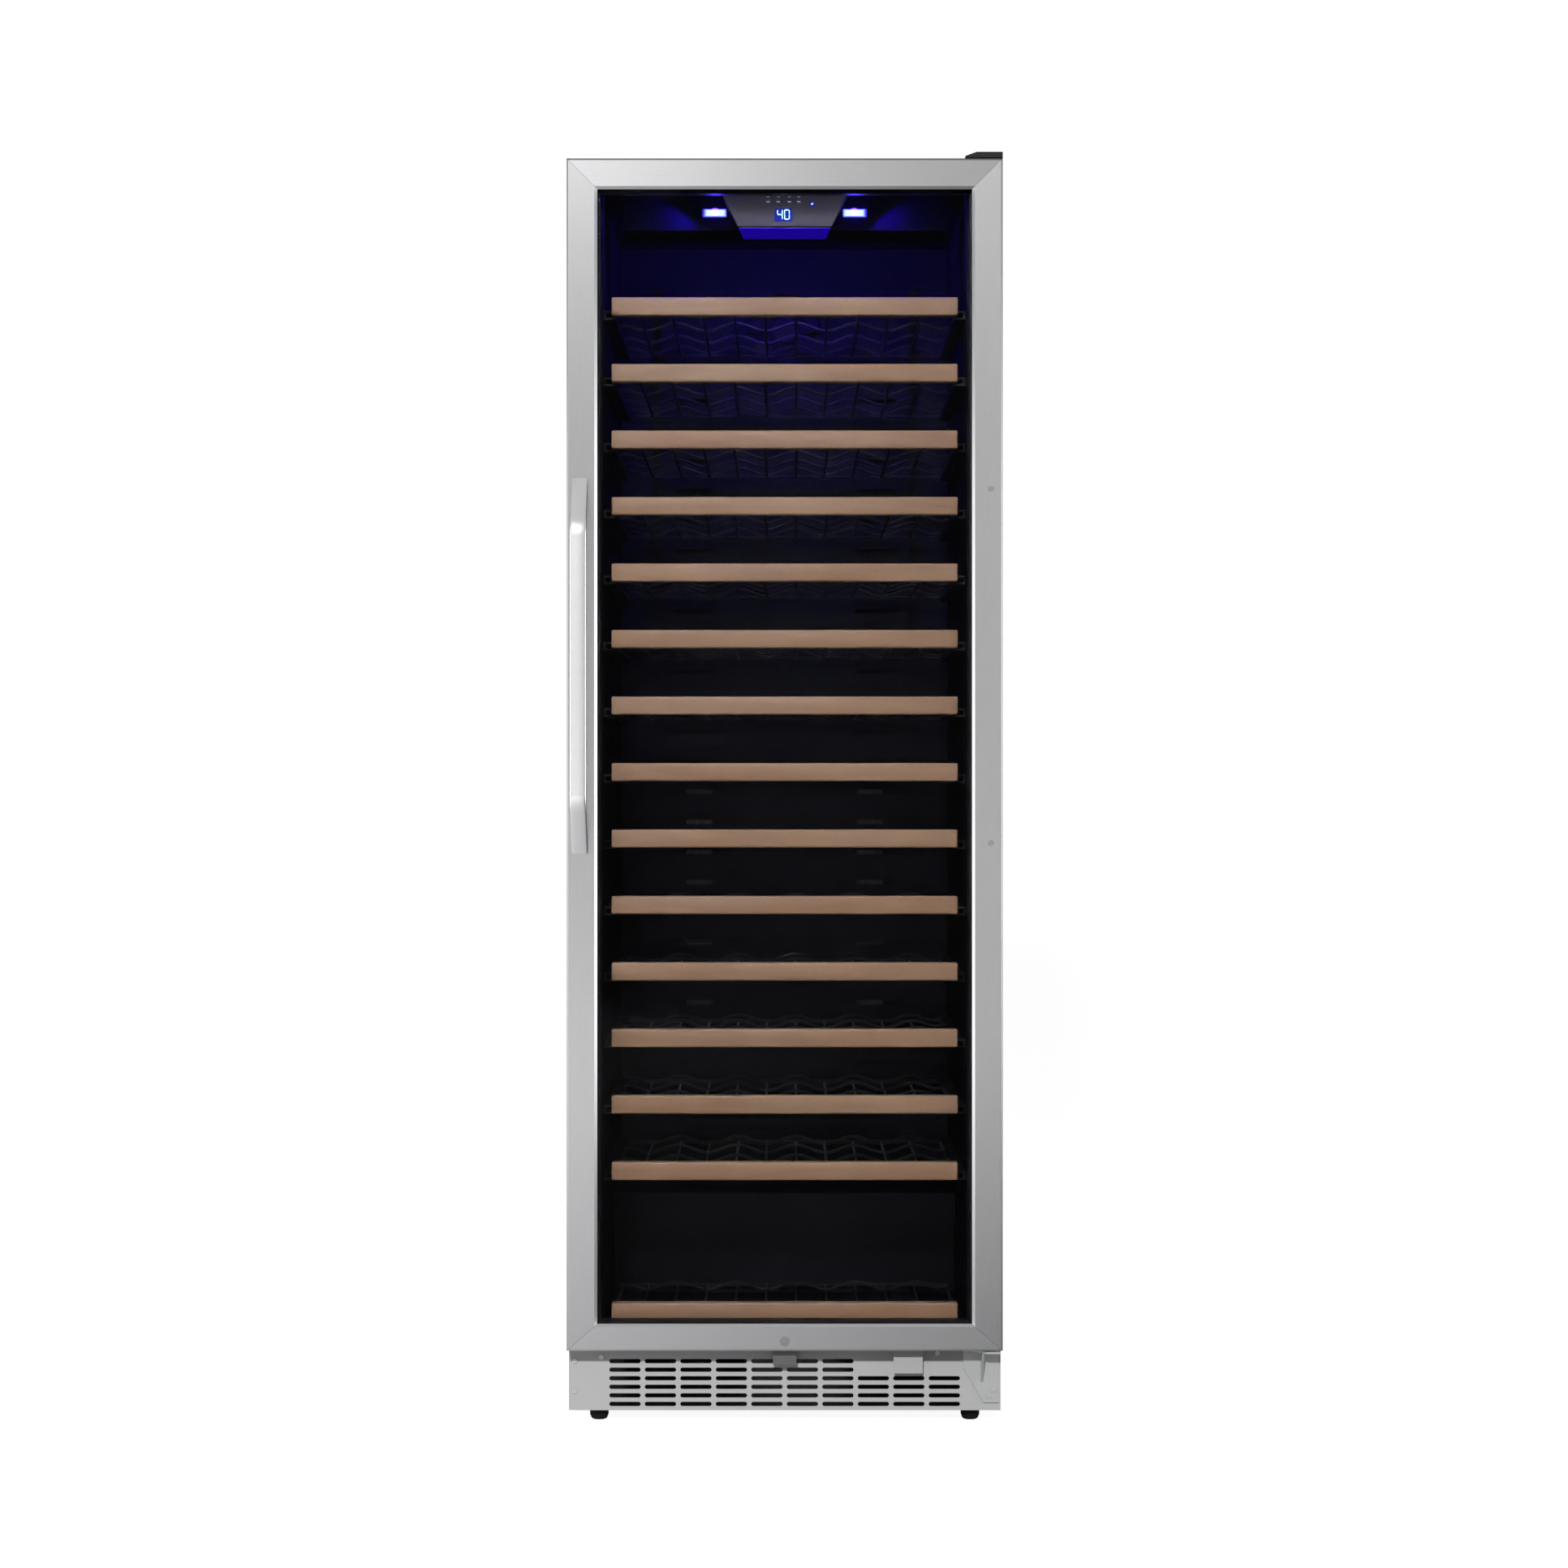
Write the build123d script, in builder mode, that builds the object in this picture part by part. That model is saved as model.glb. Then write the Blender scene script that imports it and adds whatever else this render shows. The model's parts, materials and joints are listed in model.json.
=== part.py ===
from build123d import *
import math
import os

# Tall wine cooler with a glass door on the right-hand hinge, fourteen sliding shelves and its
# cooling parts. X runs to the right, Y from the door to the back, Z up. The origin is on the
# floor under the middle of the whole outline. Sizes are in millimetres.

os.makedirs("parts", exist_ok=True)

# ---- driving dimensions -------------------------------------------------------------------
width = 595.0
height = 1742.0
depth = 680.0
half_width = width / 2
back_y = depth / 2
gap = 0.2  # clearance between pieces that don't touch

# cabinet
cabinet_front = -242.0
cabinet_bottom = 17.0
cabinet_top = 1731.0
sheet = 1.0
plate = 2.0
panel_front = back_y - 1.5
flange_x = 264.5
flange_top = 1715.5

# liner, the plastic inside of the cabinet
liner_x = 251.0
liner_wall = 3.0
liner_bottom = 128.0
liner_top = 1702.0
liner_back = 288.0
step_y = 95.0
step_z = 275.0
lip_margin = 13.3
lip_back = cabinet_front + 3.0

# base and machine compartment
kick_top = 105.0
kick_back = cabinet_front + 1.6
base_front = cabinet_front + 2.0
base_x = half_width - 1.2
base_back = panel_front - 0.3
machine_front = 123.0
machine_top = 245.0

# door, from its front face to its gasket
door_front = -292.0
door_bottom = 107.0
door_top = 1733.5
frame_back = -264.0
frame_wall = 1.6
window_x = 255.7
window_bottom = 143.7
window_top = 1691.3
bevel = 3.8
pane = 4.0
pane_front = door_front + 4.0
pane_overlap = 11.8
spacer_depth = 12.0
inner_front = pane_front + pane + spacer_depth
inner_frame_back = -252.0
gasket_back = cabinet_front - 0.3

# door hinge
pin_x = 287.0
pin_y = -272.0
pin_radius = 4.0
pin_fit = 4.1
pin_length = 20.0

# lock
lock_z = 120.4
barrel_radius = 5.8
core_radius = 3.8
cam_front = -261.0
cam_back = -258.0
cam_length = 26.0

# handle
handle_x = -279.0
handle_width = 23.0
handle_bar = 12.0
handle_front = -back_y
handle_low = 780.5
handle_high = 1301.0
handle_rise = 71.0
screw_column = 281.0
screw_low = 799.5
screw_high = 1282.5

# shelves
shelf_count = 14
shelf_pitch = 92.0
top_shelf_z = 1540.5
floor_shelf_z = 150.0
front_x = 239.5
front_face = -226.0
front_back = -204.0
front_height = 25.0
rod_drop = 9.0
side_rod_x = 238.0
rack_back = 240.0
wire_pitch = 43.35
rail_front = -200.0
rail_back = 245.0

# controls under the ceiling
housing_x = 225.0
housing_front = -185.0
housing_back = -90.0
housing_bottom = 1652.0
housing_top = 1701.5
face_low = (-207.0, 1654.0)
face_high = (-222.0, 1696.0)
face_low_x = 66.0
face_high_x = 87.0
face_plate = 2.0
button_radius = 3.5
button_columns = {"power": -22.9, "light": -8.8, "up": 6.6, "down": 19.4}

# cooling parts
fan_radius = 52.0
shroud_radius = 56.0
duct_fan_z = 1575.0
duct_front = 262.0
condenser_fan_x = -150.0
condenser_fan_z = 88.0

# feet and inlet
foot_x = 257.0
foot_rows = {"front": -212.0, "rear": 300.0}
foot_height = 15.0
stud_radius = 4.0
stud_bore = 4.3
inlet_x = 230.0
inlet_z = 60.0


def at_depth(y):
    """Front-view plane at y: its x is X, its y is Z, and it extrudes towards the front."""
    return Plane.XZ.offset(-y)


def slab(x_span, y_span, z_span, mode=Mode.ADD):
    """A box between two values on each axis."""
    spans = (x_span, y_span, z_span)
    centre = tuple((low + high) / 2 for low, high in spans)
    with Locations(centre):
        Box(*(high - low for low, high in spans), mode=mode)


def window(x_span, z_span, mode=Mode.ADD):
    """A rectangle in a front-view sketch between two values on each axis."""
    with Locations((sum(x_span) / 2, sum(z_span) / 2)):
        Rectangle(x_span[1] - x_span[0], z_span[1] - z_span[0], mode=mode)


def hand_over(piece, name):
    """Label a finished piece and write its STEP file."""
    piece.part.label = name
    export_step(piece.part, f"parts/{name}.step")


# ---- cabinet ------------------------------------------------------------------------------
# Wrapper of two sides and a top, folded in at the front to a steel flange for the magnet seal.
with BuildPart() as outer_shell:
    with BuildSketch(at_depth(panel_front - gap)):
        window((-half_width, half_width), (cabinet_bottom, cabinet_top))
        window(
            (-half_width + sheet, half_width - sheet),
            (cabinet_bottom - 1, cabinet_top - sheet),
            mode=Mode.SUBTRACT,
        )
    extrude(amount=panel_front - gap - cabinet_front)
    with BuildSketch(at_depth(cabinet_front + sheet)):
        window((-half_width, half_width), (kick_top + gap, cabinet_top))
        window((-flange_x, flange_x), (kick_top, flange_top), mode=Mode.SUBTRACT)
    extrude(amount=sheet)
    slab(
        (-half_width, half_width),
        (cabinet_front, base_front - gap),
        (cabinet_bottom, kick_top + gap / 2),
        mode=Mode.SUBTRACT,
    )
hand_over(outer_shell, "outer_shell")

with BuildPart() as back_panel:
    slab((-half_width, half_width), (panel_front, back_y), (260, cabinet_top))
hand_over(back_panel, "back_panel")


def liner_profile(grow, front):
    """Side view of the liner's inside, grown outwards, with the step over the machine."""
    Polyline(
        (front, liner_bottom - grow),
        (step_y + grow, liner_bottom - grow),
        (step_y + grow, step_z - grow),
        (liner_back + grow, step_z - grow),
        (liner_back + grow, liner_top + grow),
        (front, liner_top + grow),
        close=True,
    )


with BuildPart() as inner_liner:
    with BuildSketch(Plane.YZ):
        with BuildLine():
            liner_profile(liner_wall, cabinet_front)
        make_face()
    extrude(amount=liner_x + liner_wall, both=True)
    with BuildSketch(at_depth(lip_back)):
        window(
            (-liner_x - lip_margin, liner_x + lip_margin),
            (liner_bottom - lip_margin, liner_top + lip_margin),
        )
    extrude(amount=lip_back - cabinet_front)
    with BuildSketch(Plane.YZ):
        with BuildLine():
            liner_profile(0, cabinet_front)
        make_face()
    extrude(amount=liner_x, both=True, mode=Mode.SUBTRACT)
hand_over(inner_liner, "inner_liner")

# Foam fills the space between the liner and the steel, down to the deck and the machine cover.
with BuildPart() as foam_insulation:
    foam_front = lip_back + gap
    foam_bottom = kick_top + gap
    with BuildSketch(Plane.YZ):
        with BuildLine():
            Polyline(
                (foam_front, foam_bottom),
                (machine_front - gap, foam_bottom),
                (machine_front - gap, machine_top + gap),
                (panel_front - gap, machine_top + gap),
                (panel_front - gap, cabinet_top - sheet - gap),
                (foam_front, cabinet_top - sheet - gap),
                close=True,
            )
        make_face()
    extrude(amount=half_width - sheet - gap, both=True)
    with BuildSketch(Plane.YZ):
        with BuildLine():
            liner_profile(liner_wall + gap, foam_front)
        make_face()
    extrude(amount=liner_x + liner_wall + gap, both=True, mode=Mode.SUBTRACT)
hand_over(foam_insulation, "foam_insulation")

with BuildPart() as base_frame:
    slab((-base_x, base_x), (base_front, base_back), (cabinet_bottom, cabinet_bottom + plate))
    slab((-base_x, base_x), (base_front, machine_front + plate), (kick_top - plate, kick_top))
    slab((-base_x, base_x), (machine_front, machine_front + plate), (kick_top - plate, machine_top))
    slab((-base_x, base_x), (machine_front, base_back), (machine_top - plate, machine_top))
    for side in (-1, 1):
        side_span = sorted((side * base_x, side * (base_x - plate)))
        slab(side_span, (base_front, machine_front + plate), (cabinet_bottom, kick_top))
        slab(side_span, (machine_front, base_back), (cabinet_bottom, machine_top))
    # turned-up lip that closes the front below the liner
    slab(
        (-flange_x + 1, flange_x - 1),
        (kick_back + gap, lip_back),
        (kick_top - plate, liner_bottom - lip_margin - gap),
    )
    # welded nuts for the feet
    foot_places = [(x, y) for x in (-foot_x, foot_x) for y in foot_rows.values()]
    with BuildSketch(Plane.XY.offset(cabinet_bottom + plate)):
        with Locations(*foot_places):
            RegularPolygon(radius=10, side_count=6)
    extrude(amount=8)
    with BuildSketch(Plane.XY.offset(cabinet_bottom)):
        with Locations(*foot_places):
            Circle(stud_bore)
    extrude(amount=plate + 8, mode=Mode.SUBTRACT)
hand_over(base_frame, "base_frame")

# Kick plate with rows of air slots; the two top rows stop short of the hinge bracket.
slot_length = 43.2
slot_height = 6.0
slot_pitch = 48.9
slot_rise = 11.8
slot_columns = 10
slot_rows = 6
short_columns = 7
first_slot_z = 25.6
kick_screws = [(-289.5, 84.7), (-252.6, 90.3), (-289.5, 43.3), (210.5, 95.9)]
hinge_screws = [(288.0, 46.0), (281.5, 37.5), (254.0, 94.0)]
keeper_screws = [(-9.0, 94.0), (9.0, 94.0)]
screw_bore = 1.8

with BuildPart() as kick_plate:
    with BuildSketch(at_depth(kick_back)):
        window((-half_width, half_width), (cabinet_bottom, kick_top))
        for row in range(slot_rows):
            columns = slot_columns if row < slot_rows - 2 else short_columns
            first_x = -slot_pitch * (slot_columns - 1) / 2
            places = [
                (first_x + slot_pitch * i, first_slot_z + slot_rise * row) for i in range(columns)
            ]
            with Locations(*places):
                SlotOverall(slot_length, slot_height, mode=Mode.SUBTRACT)
        with Locations(*kick_screws, *hinge_screws, *keeper_screws):
            Circle(screw_bore, mode=Mode.SUBTRACT)
    extrude(amount=kick_back - cabinet_front)
hand_over(kick_plate, "kick_plate")

# Rear grille over the machine compartment, with a cut-out for the mains inlet.
inlet_half = (25.0, 12.0)
with BuildPart() as rear_grille:
    with BuildSketch(at_depth(back_y)):
        window((-half_width + 1.5, half_width - 1.5), (20, 258))
        with Locations((-60, 150)):
            with GridLocations(60, 16, 7, 9):
                SlotOverall(50, 7, mode=Mode.SUBTRACT)
        with Locations((inlet_x, inlet_z)):
            Rectangle(2 * inlet_half[0] + 0.4, 2 * inlet_half[1] + 0.4, mode=Mode.SUBTRACT)
    extrude(amount=back_y - panel_front)
hand_over(rear_grille, "rear_grille")

# Three-pole mains inlet, flush with the back.
with BuildPart() as mains_inlet:
    with BuildSketch(at_depth(back_y)):
        with Locations((inlet_x, inlet_z)):
            RectangleRounded(2 * inlet_half[0], 2 * inlet_half[1], 3)
    extrude(amount=22)
    with BuildSketch(at_depth(back_y)):
        with Locations((inlet_x, inlet_z)):
            RectangleRounded(27, 19.5, 3)
    extrude(amount=16, mode=Mode.SUBTRACT)
    with BuildSketch(at_depth(back_y - 6)):
        with Locations((inlet_x - 7, inlet_z - 2), (inlet_x, inlet_z + 3), (inlet_x + 7, inlet_z - 2)):
            Rectangle(2, 4)
    extrude(amount=12)
hand_over(mains_inlet, "mains_inlet")

# ---- hinges, keeper and fasteners on the cabinet ------------------------------------------
bracket_x = (252.0, 295.0)
arm_low = 101.5
arm_high = 104.5
flange_front = cabinet_front - 2.8

with BuildPart() as bottom_hinge_bracket:
    with BuildSketch(Plane.XY.offset(arm_low)):
        with BuildLine():
            Polyline(
                (246, cabinet_front),
                (246, -250),
                (276, -284),
                (bracket_x[1], -284),
                (bracket_x[1], cabinet_front),
                close=True,
            )
        make_face()
    extrude(amount=arm_high - arm_low)
    # flange on the kick plate, tapering down to the outer edge
    with BuildSketch(at_depth(cabinet_front)):
        with BuildLine():
            Polyline(
                (246, arm_high),
                (246, 76),
                (274, 28),
                (bracket_x[1], 28),
                (bracket_x[1], arm_high),
                close=True,
            )
        make_face()
        with Locations(*hinge_screws):
            Circle(screw_bore, mode=Mode.SUBTRACT)
    extrude(amount=cabinet_front - flange_front)
    # rib between the arm and the flange
    with BuildSketch(Plane.YZ.offset(270)):
        with BuildLine():
            Polyline((-280, arm_low), (flange_front, arm_low), (flange_front, 56), close=True)
        make_face()
    extrude(amount=3)
    # shoulder and pin
    with BuildSketch(Plane.XY.offset(arm_high)):
        with Locations((pin_x, pin_y)):
            Circle(7)
    extrude(amount=door_bottom - gap - arm_high)
    with BuildSketch(Plane.XY.offset(arm_high)):
        with Locations((pin_x, pin_y)):
            Circle(pin_radius)
    extrude(amount=pin_length)
hand_over(bottom_hinge_bracket, "bottom_hinge_bracket")

top_arm_low = 1734.5
top_arm_high = 1737.0
with BuildPart() as top_hinge_bracket:
    slab(bracket_x, (-284, -180), (top_arm_low, top_arm_high))
    slab(bracket_x, (-236, -180), (cabinet_top, top_arm_low))
    with BuildSketch(Plane.XY.offset(top_arm_low)):
        with Locations((pin_x, pin_y)):
            Circle(pin_radius)
    extrude(amount=-pin_length)
hand_over(top_hinge_bracket, "top_hinge_bracket")

# Low plastic cap over the top bracket, sloping down to the left.
with BuildPart() as top_hinge_cover:
    cap_low = door_top + 0.7
    with BuildSketch(at_depth(-172)):
        with BuildLine():
            Polyline(
                (246.5, cap_low),
                (half_width, cap_low),
                (half_width, height),
                (262, height),
                (246.5, 1736.5),
                close=True,
            )
        make_face()
    extrude(amount=119)
    slab((246.5, half_width), (-240, -172), (cabinet_top, cap_low))
    slab((251, 296), (-286, -176), (cabinet_top, top_arm_high + 0.5), mode=Mode.SUBTRACT)
hand_over(top_hinge_cover, "top_hinge_cover")

# Keeper: a small hook on the kick plate that the lock cam turns down behind.
with BuildPart() as lock_keeper:
    slab((-16, 16), (-268.5, cabinet_front), (84, 86.5))
    slab((-16, 16), (-268.5, -266), (84, 104))
    slab((-16, 16), (cabinet_front - 2, cabinet_front), (84, 101))
    with BuildSketch(at_depth(cabinet_front)):
        with Locations(*keeper_screws):
            Circle(screw_bore)
    extrude(amount=2, mode=Mode.SUBTRACT)
hand_over(lock_keeper, "lock_keeper")

# Pan-head screws of the kick plate, the bottom hinge and the keeper.
with BuildPart() as cabinet_screws:
    seats = [(kick_screws, cabinet_front), (hinge_screws, flange_front)]
    seats.append((keeper_screws, cabinet_front - 2))
    for places, seat in seats:
        with BuildSketch(at_depth(seat)):
            with Locations(*places):
                Circle(3.4)
        extrude(amount=1.6)
        with BuildSketch(at_depth(cabinet_front + 8)):
            with Locations(*places):
                Circle(screw_bore - 0.3)
        extrude(amount=cabinet_front + 8 - seat)
hand_over(cabinet_screws, "cabinet_screws")

# ---- feet ---------------------------------------------------------------------------------
for row_name, foot_y in foot_rows.items():
    for side_name, side in (("left", -1), ("right", 1)):
        with BuildPart() as foot:
            with Locations((side * foot_x, foot_y, 0)):
                Cone(11, 13, foot_height, align=(Align.CENTER, Align.CENTER, Align.MIN))
                Cylinder(stud_radius, 45, align=(Align.CENTER, Align.CENTER, Align.MIN))
        hand_over(foot, f"{row_name}_foot_{side_name}")

# ---- cooling parts ------------------------------------------------------------------------
with BuildPart() as compressor:
    with Locations((150, 235, cabinet_bottom + plate + 9)):
        Cylinder(70, 165, align=(Align.CENTER, Align.CENTER, Align.MIN))
    fillet(compressor.edges().filter_by(GeomType.CIRCLE), 30)
    slab((72, 228), (157, 313), (26, 29))
    with BuildSketch(Plane.XY.offset(cabinet_bottom + plate)):
        with Locations((150, 235)):
            with GridLocations(130, 130, 2, 2):
                Circle(9)
    extrude(amount=8)
hand_over(compressor, "compressor")


def finned_coil(x_span, y_span, z_span, fins, tube_rows, tube_columns):
    """Thin fins across X with straight tubes through them."""
    fin_step = (x_span[1] - x_span[0] - 1) / (fins - 1)
    for i in range(fins):
        fin_x = x_span[0] + fin_step * i
        slab((fin_x, fin_x + 1), y_span, z_span)
    tube_y = (y_span[1] - y_span[0]) / (tube_columns + 1)
    tube_z = (z_span[1] - z_span[0]) / (tube_rows + 1)
    tubes = [
        (y_span[0] + tube_y * (c + 1), z_span[0] + tube_z * (r + 1))
        for c in range(tube_columns)
        for r in range(tube_rows)
    ]
    with BuildSketch(Plane.YZ.offset(x_span[0] - 6)) as tube_ends:
        with Locations(*tubes):
            Circle(3)
    extrude(tube_ends.sketch, amount=x_span[1] - x_span[0] + 12)


def motor_spider(x, z, ring_front, ring_back):
    """Fan shroud ring with three arms that carry the motor behind the rotor."""
    with BuildSketch(at_depth(ring_back)) as ring:
        with Locations((x, z)):
            Circle(shroud_radius + 3)
            Circle(shroud_radius, mode=Mode.SUBTRACT)
    extrude(ring.sketch, amount=ring_back - ring_front)
    with BuildSketch(at_depth(ring_back)) as arms:
        with Locations((x, z)):
            Circle(20)
            with PolarLocations(38, 3, start_angle=90):
                Rectangle(40, 9)
    extrude(arms.sketch, amount=4)


with BuildPart() as evaporator_coil:
    finned_coil((-150, 150), (270, 286), (520, 880), 21, 8, 1)
    slab((-150, 150), (286, 287.8), (520, 880))
hand_over(evaporator_coil, "evaporator_coil")

with BuildPart() as condenser_coil:
    finned_coil((-240, -60), (150, 200), (25, 151), 19, 4, 2)
    slab((-240, -60), (150, 200), (cabinet_bottom + plate, 25))
    with BuildSketch(at_depth(203)):
        window((-240, -60), (cabinet_bottom + plate, 151))
        with Locations((condenser_fan_x, condenser_fan_z)):
            Circle(shroud_radius, mode=Mode.SUBTRACT)
    extrude(amount=3)
    motor_spider(condenser_fan_x, condenser_fan_z, 203, 226)
hand_over(condenser_coil, "condenser_coil")

fans = {
    "circulation_fan": (0, 273, duct_fan_z),
    "condenser_fan": (condenser_fan_x, 213, condenser_fan_z),
}
for fan_name, centre in fans.items():
    with BuildPart(Plane(origin=centre, x_dir=(1, 0, 0), z_dir=(0, 1, 0))) as rotor:
        Cylinder(18, 12)
        with PolarLocations((fan_radius + 16) / 2, 7):
            Box(fan_radius - 16, 15, 1.6, rotation=(28, 0, 0))
    hand_over(rotor, fan_name)

# Duct on the liner's back wall: it draws air over the coil and blows it out beside the shelves.
with BuildPart() as air_duct_panel:
    duct_back = liner_back - gap
    duct_x = 190.0
    duct_z = (300.0, 1640.0)
    slab((-duct_x, duct_x), (duct_front, duct_back), duct_z)
    slab(
        (-duct_x + plate, duct_x - plate),
        (duct_front + plate, duct_back),
        (duct_z[0] + plate, duct_z[1] - plate),
        mode=Mode.SUBTRACT,
    )
    with BuildSketch(at_depth(duct_back)):
        with Locations((0, duct_fan_z)):
            Circle(shroud_radius)
        with Locations((0, 960)):
            with GridLocations(280, shelf_pitch / 2, 2, 23):
                SlotOverall(60, 7)
        with Locations((0, 380)):
            with GridLocations(44, 18, 7, 6):
                SlotOverall(36, 7)
    extrude(amount=duct_back - duct_front, mode=Mode.SUBTRACT)
    motor_spider(0, duct_fan_z, duct_front, duct_back)
hand_over(air_duct_panel, "air_duct_panel")

# ---- controls -----------------------------------------------------------------------------
# The tilted face of the control pod looks forward and a little down.
face_rise = math.hypot(face_high[0] - face_low[0], face_high[1] - face_low[1])
face_up = (0, (face_high[0] - face_low[0]) / face_rise, (face_high[1] - face_low[1]) / face_rise)
face_out = (0, -face_up[2], face_up[1])
face_middle = ((face_low[0] + face_high[0]) / 2, (face_low[1] + face_high[1]) / 2)
face_plane = Plane(origin=(0, *face_middle), x_dir=(1, 0, 0), z_dir=face_out)


def on_face(z):
    """Distance up the tilted face, from its middle, of a height z."""
    return (z - face_middle[1]) / face_up[2]


button_row = on_face(1686.5)
display_centre = (-1.7, on_face(1669.0))

with BuildPart() as control_housing:
    slab((-housing_x, housing_x), (housing_front, housing_back), (housing_bottom, housing_top))
    slab(
        (-housing_x + 2.5, housing_x - 2.5),
        (housing_front + 2.5, housing_back - 2.5),
        (housing_bottom + 2.5, housing_top),
        mode=Mode.SUBTRACT,
    )
    pod_back = housing_front + 1
    with BuildSketch(Plane.XY.offset(face_low[1])):
        with Locations((0, (face_low[0] + pod_back) / 2)):
            Rectangle(2 * face_low_x, pod_back - face_low[0])
    with BuildSketch(Plane.XY.offset(face_high[1])):
        with Locations((0, (face_high[0] + pod_back) / 2)):
            Rectangle(2 * face_high_x, pod_back - face_high[0])
    loft(ruled=True)
    with BuildSketch(face_plane):
        with Locations(*((x, button_row) for x in button_columns.values())):
            Circle(button_radius + 0.3)
    extrude(amount=-2, mode=Mode.SUBTRACT)
hand_over(control_housing, "control_housing")

with BuildPart() as control_panel:
    with BuildSketch(face_plane):
        with BuildLine():
            Polyline(
                (-face_low_x + 1, on_face(face_low[1]) + 0.5),
                (face_low_x - 1, on_face(face_low[1]) + 0.5),
                (face_high_x - 1, on_face(face_high[1]) - 0.5),
                (-face_high_x + 1, on_face(face_high[1]) - 0.5),
                close=True,
            )
        make_face()
        with Locations(*((x, button_row) for x in button_columns.values())):
            Circle(button_radius + 0.3, mode=Mode.SUBTRACT)
    extrude(amount=face_plate)
    with BuildSketch(face_plane.offset(face_plate)):
        with Locations(display_centre):
            RectangleRounded(25, 19, 1.5)
    extrude(amount=-0.8, mode=Mode.SUBTRACT)
hand_over(control_panel, "control_panel")

for button_name, button_x in button_columns.items():
    with BuildPart() as button:
        with BuildSketch(face_plane.offset(-1.2)):
            with Locations((button_x, button_row)):
                Circle(button_radius)
        extrude(amount=face_plate + 2.0)
        fillet(button.faces().sort_by(Axis.Y)[0].edges(), 0.4)
    hand_over(button, f"{button_name}_button")

# Two lamp windows on the front of the housing, one each side of the pod.
with BuildPart() as light_lenses:
    with BuildSketch(at_depth(housing_front)):
        with Locations((-98, 1676), (98, 1676)):
            RectangleRounded(34, 12, 2)
    extrude(amount=2)
hand_over(light_lenses, "light_lenses")

# ---- door frame ---------------------------------------------------------------------------
# One pressed ring, cut along its mitres into two rails and two stiles.
with BuildPart() as frame_ring:
    with BuildSketch(at_depth(frame_back)):
        window((-half_width, half_width), (door_bottom, door_top))
        window((-window_x, window_x), (window_bottom, window_top), mode=Mode.SUBTRACT)
    extrude(amount=frame_back - door_front)
    chamfer(frame_ring.faces().sort_by(Axis.Y)[0].inner_wires()[0].edges(), bevel)
    fillet(frame_ring.faces().sort_by(Axis.Y)[0].outer_wire().edges(), 3)
    with BuildSketch(at_depth(frame_back)):
        window(
            (-half_width + frame_wall, half_width - frame_wall),
            (door_bottom + frame_wall, door_top - frame_wall),
        )
        window(
            (-window_x - bevel - 1.5, window_x + bevel + 1.5),
            (window_bottom - bevel - 1.5, window_top + bevel + 1.5),
            mode=Mode.SUBTRACT,
        )
    extrude(amount=frame_back - door_front - frame_wall, mode=Mode.SUBTRACT)
    # rebate for the sealed glass
    with BuildSketch(at_depth(frame_back)):
        window(
            (-window_x - pane_overlap - 1.5, window_x + pane_overlap + 1.5),
            (window_bottom - pane_overlap - 1.5, window_top + pane_overlap + 1.5),
        )
    extrude(amount=frame_back - pane_front + gap, mode=Mode.SUBTRACT)

corner = {
    "outer_low": (half_width, door_bottom),
    "outer_high": (half_width, door_top),
    "inner_low": (window_x, window_bottom),
    "inner_high": (window_x, window_top),
}


def frame_member(outline):
    """Keep the part of the ring inside a front-view outline."""
    add(frame_ring.part)
    with BuildSketch(at_depth(frame_back)) as member:
        with BuildLine():
            Polyline(*outline, close=True)
        make_face()
    extrude(member.sketch, amount=frame_back - door_front, mode=Mode.INTERSECT)


def rail_outline(outer, inner):
    """A rail reaches between both mitres, short of each by the gap."""
    return [
        (-outer[0] + gap, outer[1]),
        (outer[0] - gap, outer[1]),
        (inner[0] - gap, inner[1]),
        (-inner[0] + gap, inner[1]),
    ]


def stile_outline(side):
    """A stile reaches between both mitres on one side, also short of each by the gap."""
    low, inner_low = corner["outer_low"], corner["inner_low"]
    high, inner_high = corner["outer_high"], corner["inner_high"]
    return [
        (side * low[0], low[1] + gap),
        (side * high[0], high[1] - gap),
        (side * inner_high[0], inner_high[1] - gap),
        (side * inner_low[0], inner_low[1] + gap),
    ]


def pin_hole(low, high):
    """Vertical hole for a hinge pin."""
    with BuildSketch(Plane.XY.offset(low)) as bore:
        with Locations((pin_x, pin_y)):
            Circle(pin_fit)
    extrude(bore.sketch, amount=high - low, mode=Mode.SUBTRACT)


with BuildPart() as door_top_rail:
    frame_member(rail_outline(corner["outer_high"], corner["inner_high"]))
    pin_hole(door_top - 6, door_top)
hand_over(door_top_rail, "door_top_rail")

with BuildPart() as door_bottom_rail:
    frame_member(rail_outline(corner["outer_low"], corner["inner_low"]))
    pin_hole(door_bottom, door_bottom + 6)
    with BuildSketch(at_depth(frame_back)):
        with Locations((0, lock_z)):
            Circle(barrel_radius + gap)
    extrude(amount=frame_back - door_front, mode=Mode.SUBTRACT)
hand_over(door_bottom_rail, "door_bottom_rail")

for stile_name, side, bore in (("hinge", 1, 3.2), ("handle", -1, 2.2)):
    with BuildPart() as stile:
        frame_member(stile_outline(side))
        with BuildSketch(at_depth(frame_back)):
            with Locations((side * screw_column, screw_low), (side * screw_column, screw_high)):
                Circle(bore)
        extrude(amount=frame_back - door_front, mode=Mode.SUBTRACT)
    hand_over(stile, f"door_{stile_name}_stile")

# ---- door glass, inner frame and seal -----------------------------------------------------
pane_x = window_x + pane_overlap
pane_z = (window_bottom - pane_overlap, window_top + pane_overlap)

with BuildPart() as outer_glass:
    slab((-pane_x, pane_x), (pane_front, pane_front + pane), pane_z)
hand_over(outer_glass, "outer_glass")

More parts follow.
